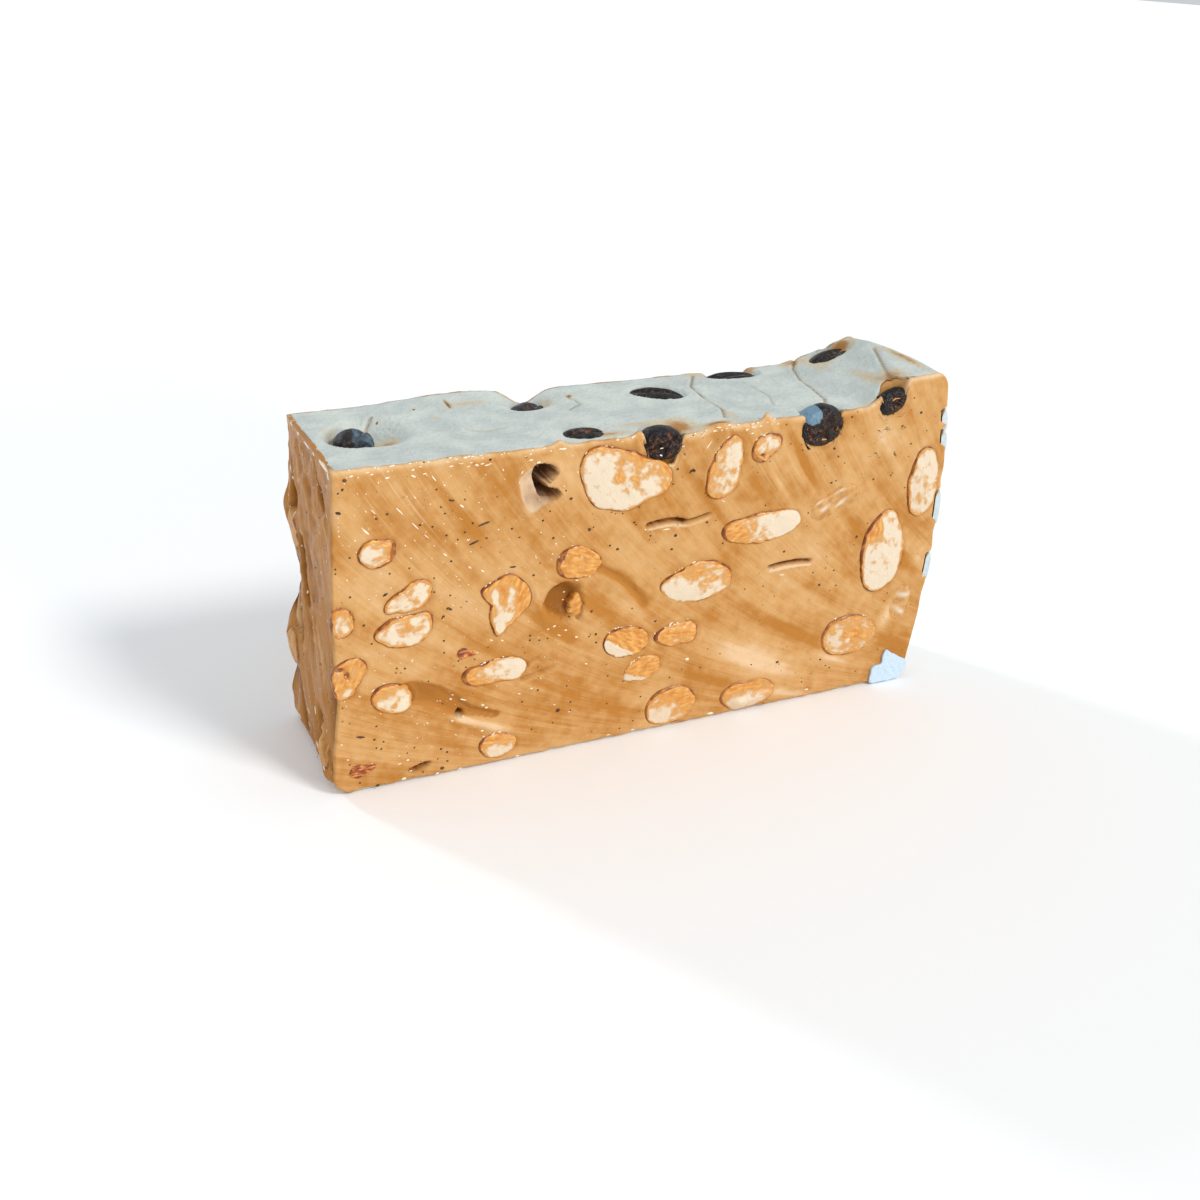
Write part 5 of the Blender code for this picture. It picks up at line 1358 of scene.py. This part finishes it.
def dots_piece(name, rows, sides, shares, levels, thick, bulge, snug, material):
    """Make one mesh of many low dots on the cuts.

    Row: along, height, half length, half width, turn, side. Each dot is two rings at shares of its
    size with a point above and below, raised by levels times its thickness. A snug dot follows
    the cut at every point; the others take the cut's level at their middle.
    """
    side = rows[:, 5]
    inside = left_line(np.where(side == FRONT, -HALF_DEPTH, HALF_DEPTH), rows[:, 1]) + LEFT_MARGIN
    middle_u = np.where(side == LEFT, rows[:, 0], np.maximum(rows[:, 0], inside))[:, None, None]
    middle_v, long, wide, turn = (rows[:, k, None, None] for k in (1, 2, 3, 4))
    spin = np.linspace(0.0, 2.0 * np.pi, sides, endpoint=False)
    du = long * np.array(shares)[:, None] * np.cos(spin) * bulge
    dv = wide * np.array(shares)[:, None] * np.sin(spin) * bulge
    u = middle_u + du * np.cos(turn) - dv * np.sin(turn)
    v = middle_v + du * np.sin(turn) + dv * np.cos(turn)
    level = np.array(levels[1:3])[:, None] * thick[:, None, None] + 0.0 * u
    first, last = levels[0] * thick[:, None], levels[3] * thick[:, None]
    middle_u, middle_v = middle_u[:, 0], middle_v[:, 0]
    u, v = (np.concatenate((middle, rings.reshape(len(rows), -1), middle), axis=1)
            for middle, rings in ((middle_u, u), (middle_v, v)))
    level = np.concatenate((first, level.reshape(len(rows), -1), last), axis=1)
    v = np.maximum(v, LOWEST)
    at_u, at_v = (u, v) if snug else (middle_u + 0.0 * u, middle_v + 0.0 * v)
    pits = np.clip(front_pits(at_u, at_v), 0.0 if snug else -1.0, 6.0)
    front_points = on_front_cut(u, v, front_waves(at_u, at_v) + pits + level)
    back_points = on_back_cut(u, v, back_waves(at_u, at_v) + level)
    side = side[:, None, None]
    points = np.where(side == FRONT, front_points, back_points)
    points = np.where(side == LEFT, on_left_end(u, v, level), points)
    quads, tris = ring_faces(2, sides)
    shift = (np.arange(len(rows)) * (2 * sides + 2))[:, None, None]
    quads, tris = (np.where(side > FRONT, (faces + shift)[..., ::-1], faces + shift)
                   .reshape(-1, faces.shape[1]) for faces in (quads, tris))
    new_piece(name, points.reshape(-1, 3), quads, tris, material, [])


draw = np.random.default_rng(5)
rows = [(u, v, size, size * 0.8, 0.0, FRONT) for u, v, size in SEEN_GROUNDS]
rows += [(u, v, long, 0.24, math.radians(turn), FRONT) for u, v, long, turn in SEEN_FLAKES]
for side, amount in ((FRONT, 230), (BACK, 330), (LEFT, 60)):
    for _ in range(amount):
        u = draw.uniform(-16.5, 16.5) if side == LEFT else draw.uniform(-70.0, 69.0)
        size = 0.09 + 0.13 * draw.random() ** 2 + (0.2 * draw.random() if side == BACK else 0.0) * 0.8
        rows.append((u, draw.uniform(1.5, 69.0), size, size * draw.uniform(0.55, 1.0),
                     draw.uniform(0.0, math.pi), side))
rows = np.array(rows)
bulge = 1.0 + 0.25 * draw.uniform(-1.0, 1.0, (len(rows), 2, GROUND_SIDES))
crumbs, shader = new_material("ground_dark_coffee", Roughness=0.5)
coords = add_node(crumbs, "TexCoord", {}, {})
specks = add_node(crumbs, "TexNoise", {}, {"Vector": coords["Object"], "Scale": 700.0, "Detail": 2.0})[0]
share = add_node(crumbs, "MapRange", SMOOTH, {"Value": specks, "From Min": 0.3, "From Max": 0.7})[0]
colour = add_node(crumbs, "Mix", COLOURS, {0: share, 6: "#2A1C16", 7: "#5A3A26"})[2]
link_to(crumbs, shader.inputs["Base Color"], colour)
dots_piece("coffee_grounds", rows, GROUND_SIDES, (0.62, 1.0), (-0.7, -0.55, 0.1, 0.5),
           np.minimum(rows[:, 3], THICKEST_GROUND), bulge, True, crumbs)

# ---------------------------------------------------------------------------------- painted glints
# Painted glints: small near-white glossy domes and drawn-out films laid on the cuts along the knife
# marks, the nuts' upper rims, the top edge and the foot. They are painted highlights for wet syrup.

# Painted glints on the front: along, height, half length, half width, slope in degrees.
PAINTED_GLINTS = (
    (-63.0, 57.6, 1.1, 0.2, -48), (-63.9, 56.2, 0.7, 0.16, -48), (-57.9, 54.3, 0.7, 0.25, -20),
    (-60.1, 56.4, 0.35, 0.2, -40), (-56.9, 51.0, 0.3, 0.2, 0), (-61.5, 61.5, 0.8, 0.13, -50),
    (-56.5, 61.0, 1.4, 0.14, -50), (-53.4, 57.4, 1.2, 0.12, -50), (-51.2, 54.9, 0.8, 0.12, -50),
    (-49.5, 66.5, 0.9, 0.14, -55), (-53.5, 67.5, 0.6, 0.2, -30), (-41.0, 68.2, 0.5, 0.25, -20),
    (-44.0, 60.2, 0.6, 0.18, -40), (-47.5, 50.5, 0.6, 0.14, -40), (-42.5, 47.0, 0.5, 0.16, -40),
    (-28.4, 67.3, 0.5, 0.25, 10), (-31.8, 65.6, 0.4, 0.15, 60), (-39.8, 45.8, 0.5, 0.2, -40),
    (-37.9, 29.9, 0.5, 0.2, -30), (-40.9, 27.6, 0.4, 0.2, -30), (-50.6, 37.4, 0.5, 0.2, -20),
    (-33.0, 24.9, 0.5, 0.2, -10), (-39.8, 15.1, 0.45, 0.3, -20), (-39.0, 14.3, 0.4, 0.25, -20),
    (-46.5, 17.5, 0.35, 0.2, -30), (-46.0, 18.6, 0.4, 0.25, 30), (-46.5, 12.8, 0.4, 0.25, -20),
    (-44.0, 17.2, 0.9, 0.18, -25), (-40.0, 9.0, 0.4, 0.25, 0), (-36.2, 8.8, 0.5, 0.2, -20),
    (-25.5, 30.3, 0.35, 0.2, 20), (-24.2, 30.8, 0.4, 0.2, 20), (-21.5, 29.3, 0.4, 0.22, -20),
    (-23.0, 28.4, 0.5, 0.15, -30), (-19.0, 27.2, 0.4, 0.2, -10), (-21.0, 36.9, 0.3, 0.2, 20),
    (-21.2, 35.1, 0.25, 0.18, 0), (-20.3, 34.0, 0.25, 0.2, 0), (-20.9, 48.6, 0.7, 0.2, -15),
    (-18.6, 48.4, 0.8, 0.2, -10), (-23.4, 46.4, 0.4, 0.2, 40), (-16.5, 41.0, 0.4, 0.2, 10),
    (-19.5, 40.6, 0.4, 0.2, -10), (-10.2, 27.9, 0.5, 0.25, 20), (-8.6, 28.4, 0.6, 0.22, 10),
    (-6.6, 28.2, 0.4, 0.2, -10), (2.6, 26.6, 0.4, 0.2, 20), (4.2, 27.0, 0.5, 0.22, 10),
    (6.0, 27.3, 0.35, 0.2, 0), (4.0, 39.3, 0.35, 0.25, 10), (5.8, 39.9, 0.45, 0.22, 5),
    (7.9, 40.3, 0.5, 0.3, 5), (10.0, 40.6, 0.45, 0.22, -5), (2.2, 38.3, 0.3, 0.2, 20),
    (-16.5, 20.3, 0.35, 0.2, -20), (8.0, 16.7, 0.55, 0.35, -10), (9.4, 66.4, 1.2, 0.16, 55),
    (11.6, 64.8, 1.0, 0.14, 60), (12.6, 67.4, 0.8, 0.14, 40), (7.6, 68.9, 0.9, 0.14, 40),
    (10.6, 61.6, 0.6, 0.12, 75), (14.6, 69.7, 0.6, 0.14, 15), (13.9, 53.4, 0.6, 0.16, -30),
    (-10.5, 1.3, 0.6, 0.2, 0), (-4.5, 1.3, 0.5, 0.2, 0), (15.0, 1.3, 0.9, 0.35, -5),
    (40.5, 2.5, 0.6, 0.3, -10), (-56.2, 5.5, 0.35, 0.25, 10), (-58.0, 5.0, 0.5, 0.2, 10),
    (-57.2, 1.2, 0.6, 0.35, 0), (-55.5, 2.3, 0.35, 0.2, 10), (-50.0, 0.9, 0.4, 0.2, 0),
    (-45.0, 0.9, 0.4, 0.2, 0), (-32.0, 0.9, 0.5, 0.2, 0), (-62.9, 23.3, 0.5, 0.2, 30),
    (-60.5, 24.6, 0.6, 0.2, 10), (-16.0, 64.6, 0.4, 0.2, 40), (-9.0, 66.3, 0.6, 0.18, -5),
    (-1.5, 65.4, 0.4, 0.18, -30), (24.5, 48.7, 0.6, 0.15, -10), (30.5, 33.6, 0.7, 0.16, -5),
    (0.8, 48.9, 1.0, 0.13, 0), (20.6, 66.4, 0.4, 0.2, 30), (26.5, 67.7, 0.4, 0.2, -10),
)
# The same on the left end: across, height, half length, half width, slope.
END_PAINTED_GLINTS = (
    (-12.6, 69.7, 4.0, 0.6, 0), (-15.8, 68.8, 0.9, 0.5, 40), (-5.0, 69.4, 1.0, 0.3, 0),
    (0.5, 69.3, 2.6, 0.4, 0), (7.0, 69.5, 1.2, 0.3, 0), (13.0, 69.5, 1.4, 0.3, 0),
    (15.0, 59.5, 0.8, 0.3, 70), (13.8, 57.6, 0.5, 0.3, 60), (6.8, 48.6, 0.8, 0.3, 70),
    (4.8, 46.2, 0.6, 0.3, 50), (6.0, 44.0, 0.5, 0.25, 70), (-13.4, 66.0, 0.4, 0.2, 80),
    (-10.0, 62.0, 0.4, 0.2, 80), (-2.0, 12.0, 1.0, 0.3, 70), (3.0, 9.0, 0.7, 0.3, 60),
    (-7.0, 5.0, 0.8, 0.25, 60), (-12.5, 4.6, 0.9, 0.3, 60), (-4.0, 4.6, 1.1, 0.35, 60),
    (4.0, 5.0, 1.0, 0.35, 70), (10.0, 4.0, 0.9, 0.35, 20),
)
# Nuts with painted glints along their upper rim.
GLINTING_NUTS = (3, 7, 8, 9, 12, 13, 14, 17, 18, 19, 20, 23)
rows = [(u, v, long, wide, math.radians(turn), FRONT) for u, v, long, wide, turn in PAINTED_GLINTS]
for side, amount in ((FRONT, 420), (BACK, 160), (LEFT, 90)):
    for _ in range(amount):
        u, v = draw.uniform(-70.0, 68.0), 69.0 * draw.uniform(0.03, 1.0) ** 0.8
        if side == FRONT and draw.random() > 1.15 - 0.016 * (u + 70.0):
            u = draw.uniform(-70.0, -20.0)
        if side == LEFT:
            u = draw.uniform(-17.0, 16.0)
        size = 0.05 + 0.11 * draw.random() ** 3 + (0.05 if side == LEFT else 0.0)
        slope = -math.radians(float(streak_angle(v))) * (1 if side == FRONT else -1)
        slope = 1.4 if side == LEFT else slope
        rows.append((u, v, size * draw.uniform(1.0, 2.4), size, slope + draw.uniform(-0.3, 0.3), side))
for number in GLINTING_NUTS:
    middle_u, middle_v, radii, *_ = front_nuts[number - 1]
    for way in draw.normal(math.radians(105.0), 0.5, 9):
        off = float(reach(radii, way)) + draw.uniform(-0.3, 0.5)
        size = draw.uniform(0.08, 0.26)
        rows.append((middle_u + off * math.cos(way), middle_v + off * math.sin(way),
                     size * draw.uniform(1.0, 2.2), size, way - 0.5 * math.pi, FRONT))
for u in draw.uniform(-69.0, 26.0, 110):
    drop, size = draw.uniform(0.3, 1.6) ** 2, draw.uniform(0.08, 0.2)
    height = float(nougat_top(u, -17.4)) - drop
    rows.append((u, height, size * draw.uniform(1.0, 3.4), size, 0.1, FRONT))
rows += [(u, v, long, wide, math.radians(turn), LEFT) for u, v, long, wide, turn in END_PAINTED_GLINTS]
rows = np.array(rows)
# Near-white and glossy: each bead is a painted highlight.
glint_paint, shader = new_material("painted_glint_gloss", Roughness=0.06, Specular_IOR_Level=0.7)
coords = add_node(glint_paint, "TexCoord", {}, {})
tint = add_node(glint_paint, "TexNoise", {}, {"Vector": coords["Object"], "Scale": 500.0, "Detail": 2.0})[0]
share = add_node(glint_paint, "MapRange", SMOOTH, {"Value": tint, "From Min": 0.3, "From Max": 0.7})[0]
colour = add_node(glint_paint, "Mix", COLOURS, {0: share, 6: "#E9CFA9", 7: "#F6E9D6"})[2]
link_to(glint_paint, shader.inputs["Base Color"], colour)
GLINT_SIDES = 8
dots_piece("painted_glint_beads", rows, GLINT_SIDES, (0.72, 1.0), (-0.62, -0.42, 0.15, 0.5),
           0.55 * rows[:, 3], 1.0, False, glint_paint)

# ---------------------------------------------------------------------------------- setting
# A plain pale table, soft daylight from the upper right and a cool fill from above.
floor_mesh = bpy.data.meshes.new("floor")
floor_mesh.from_pydata([(-4, -4, 0), (4, -4, 0), (4, 4, 0), (-4, 4, 0)], [], [(0, 1, 2, 3)])
floor = bpy.data.objects.new("floor", floor_mesh)
bpy.context.scene.collection.objects.link(floor)
pale_table, shader = new_material("pale_table", Roughness=0.7, Specular_IOR_Level=0.2,
                                  Base_Color=linear("#FCFCFC"))
floor_mesh.materials.append(pale_table)

world = bpy.data.worlds.new("studio")
bpy.context.scene.world = world
world.use_nodes = True
world.node_tree.nodes["Background"].inputs["Color"].default_value = (0.93, 0.97, 1.0, 1.0)
world.node_tree.nodes["Background"].inputs["Strength"].default_value = 0.64
bpy.context.scene.view_settings.view_transform = "Standard"


def far_light(name, towards, power, spread, colour):
    """Light from far away, shining from a direction given as along, across and up."""
    lamp = bpy.data.lights.new(name, "SUN")
    lamp.energy, lamp.angle, lamp.color = power, math.radians(spread), colour
    light = bpy.data.objects.new(name, lamp)
    light.rotation_euler = Vector(towards).to_track_quat("Z", "Y").to_euler()
    bpy.context.scene.collection.objects.link(light)


far_light("window", (0.42, -0.62, 0.66), 1.5, 14.0, (1.0, 0.99, 0.97))
far_light("window_edge", (0.40, -0.89, 0.22), 0.8, 9.0, (1.0, 0.99, 0.97))
far_light("sky", (-0.44, 0.81, 0.39), 0.9, 6.0, (0.85, 0.93, 1.0))

# Where the camera stands, in metres, and its azimuth, elevation and roll, in degrees.
CAMERA_PLACE = (-0.12434, -0.24625, 0.16014)
CAMERA_TURNS = (-25.725, 26.237, 2.416)
camera_data = bpy.data.cameras.new("camera")
camera_data.lens = 40.78
camera_data.sensor_width = 36.0
camera_data.clip_start = 0.01
camera = bpy.data.objects.new("camera", camera_data)
azimuth, elevation, roll = (math.radians(angle) for angle in CAMERA_TURNS)
back_way = Vector((math.sin(azimuth) * math.cos(elevation), -math.cos(azimuth) * math.cos(elevation),
                   math.sin(elevation)))
right_way = Vector((0.0, 0.0, 1.0)).cross(back_way).normalized()
up_way = back_way.cross(right_way)
rolled_right = math.cos(roll) * right_way + math.sin(roll) * up_way
rolled_up = -math.sin(roll) * right_way + math.cos(roll) * up_way
turn = Matrix((rolled_right, rolled_up, back_way)).transposed().to_4x4()
camera.matrix_world = Matrix.Translation(CAMERA_PLACE) @ turn
bpy.context.scene.collection.objects.link(camera)
bpy.context.scene.camera = camera
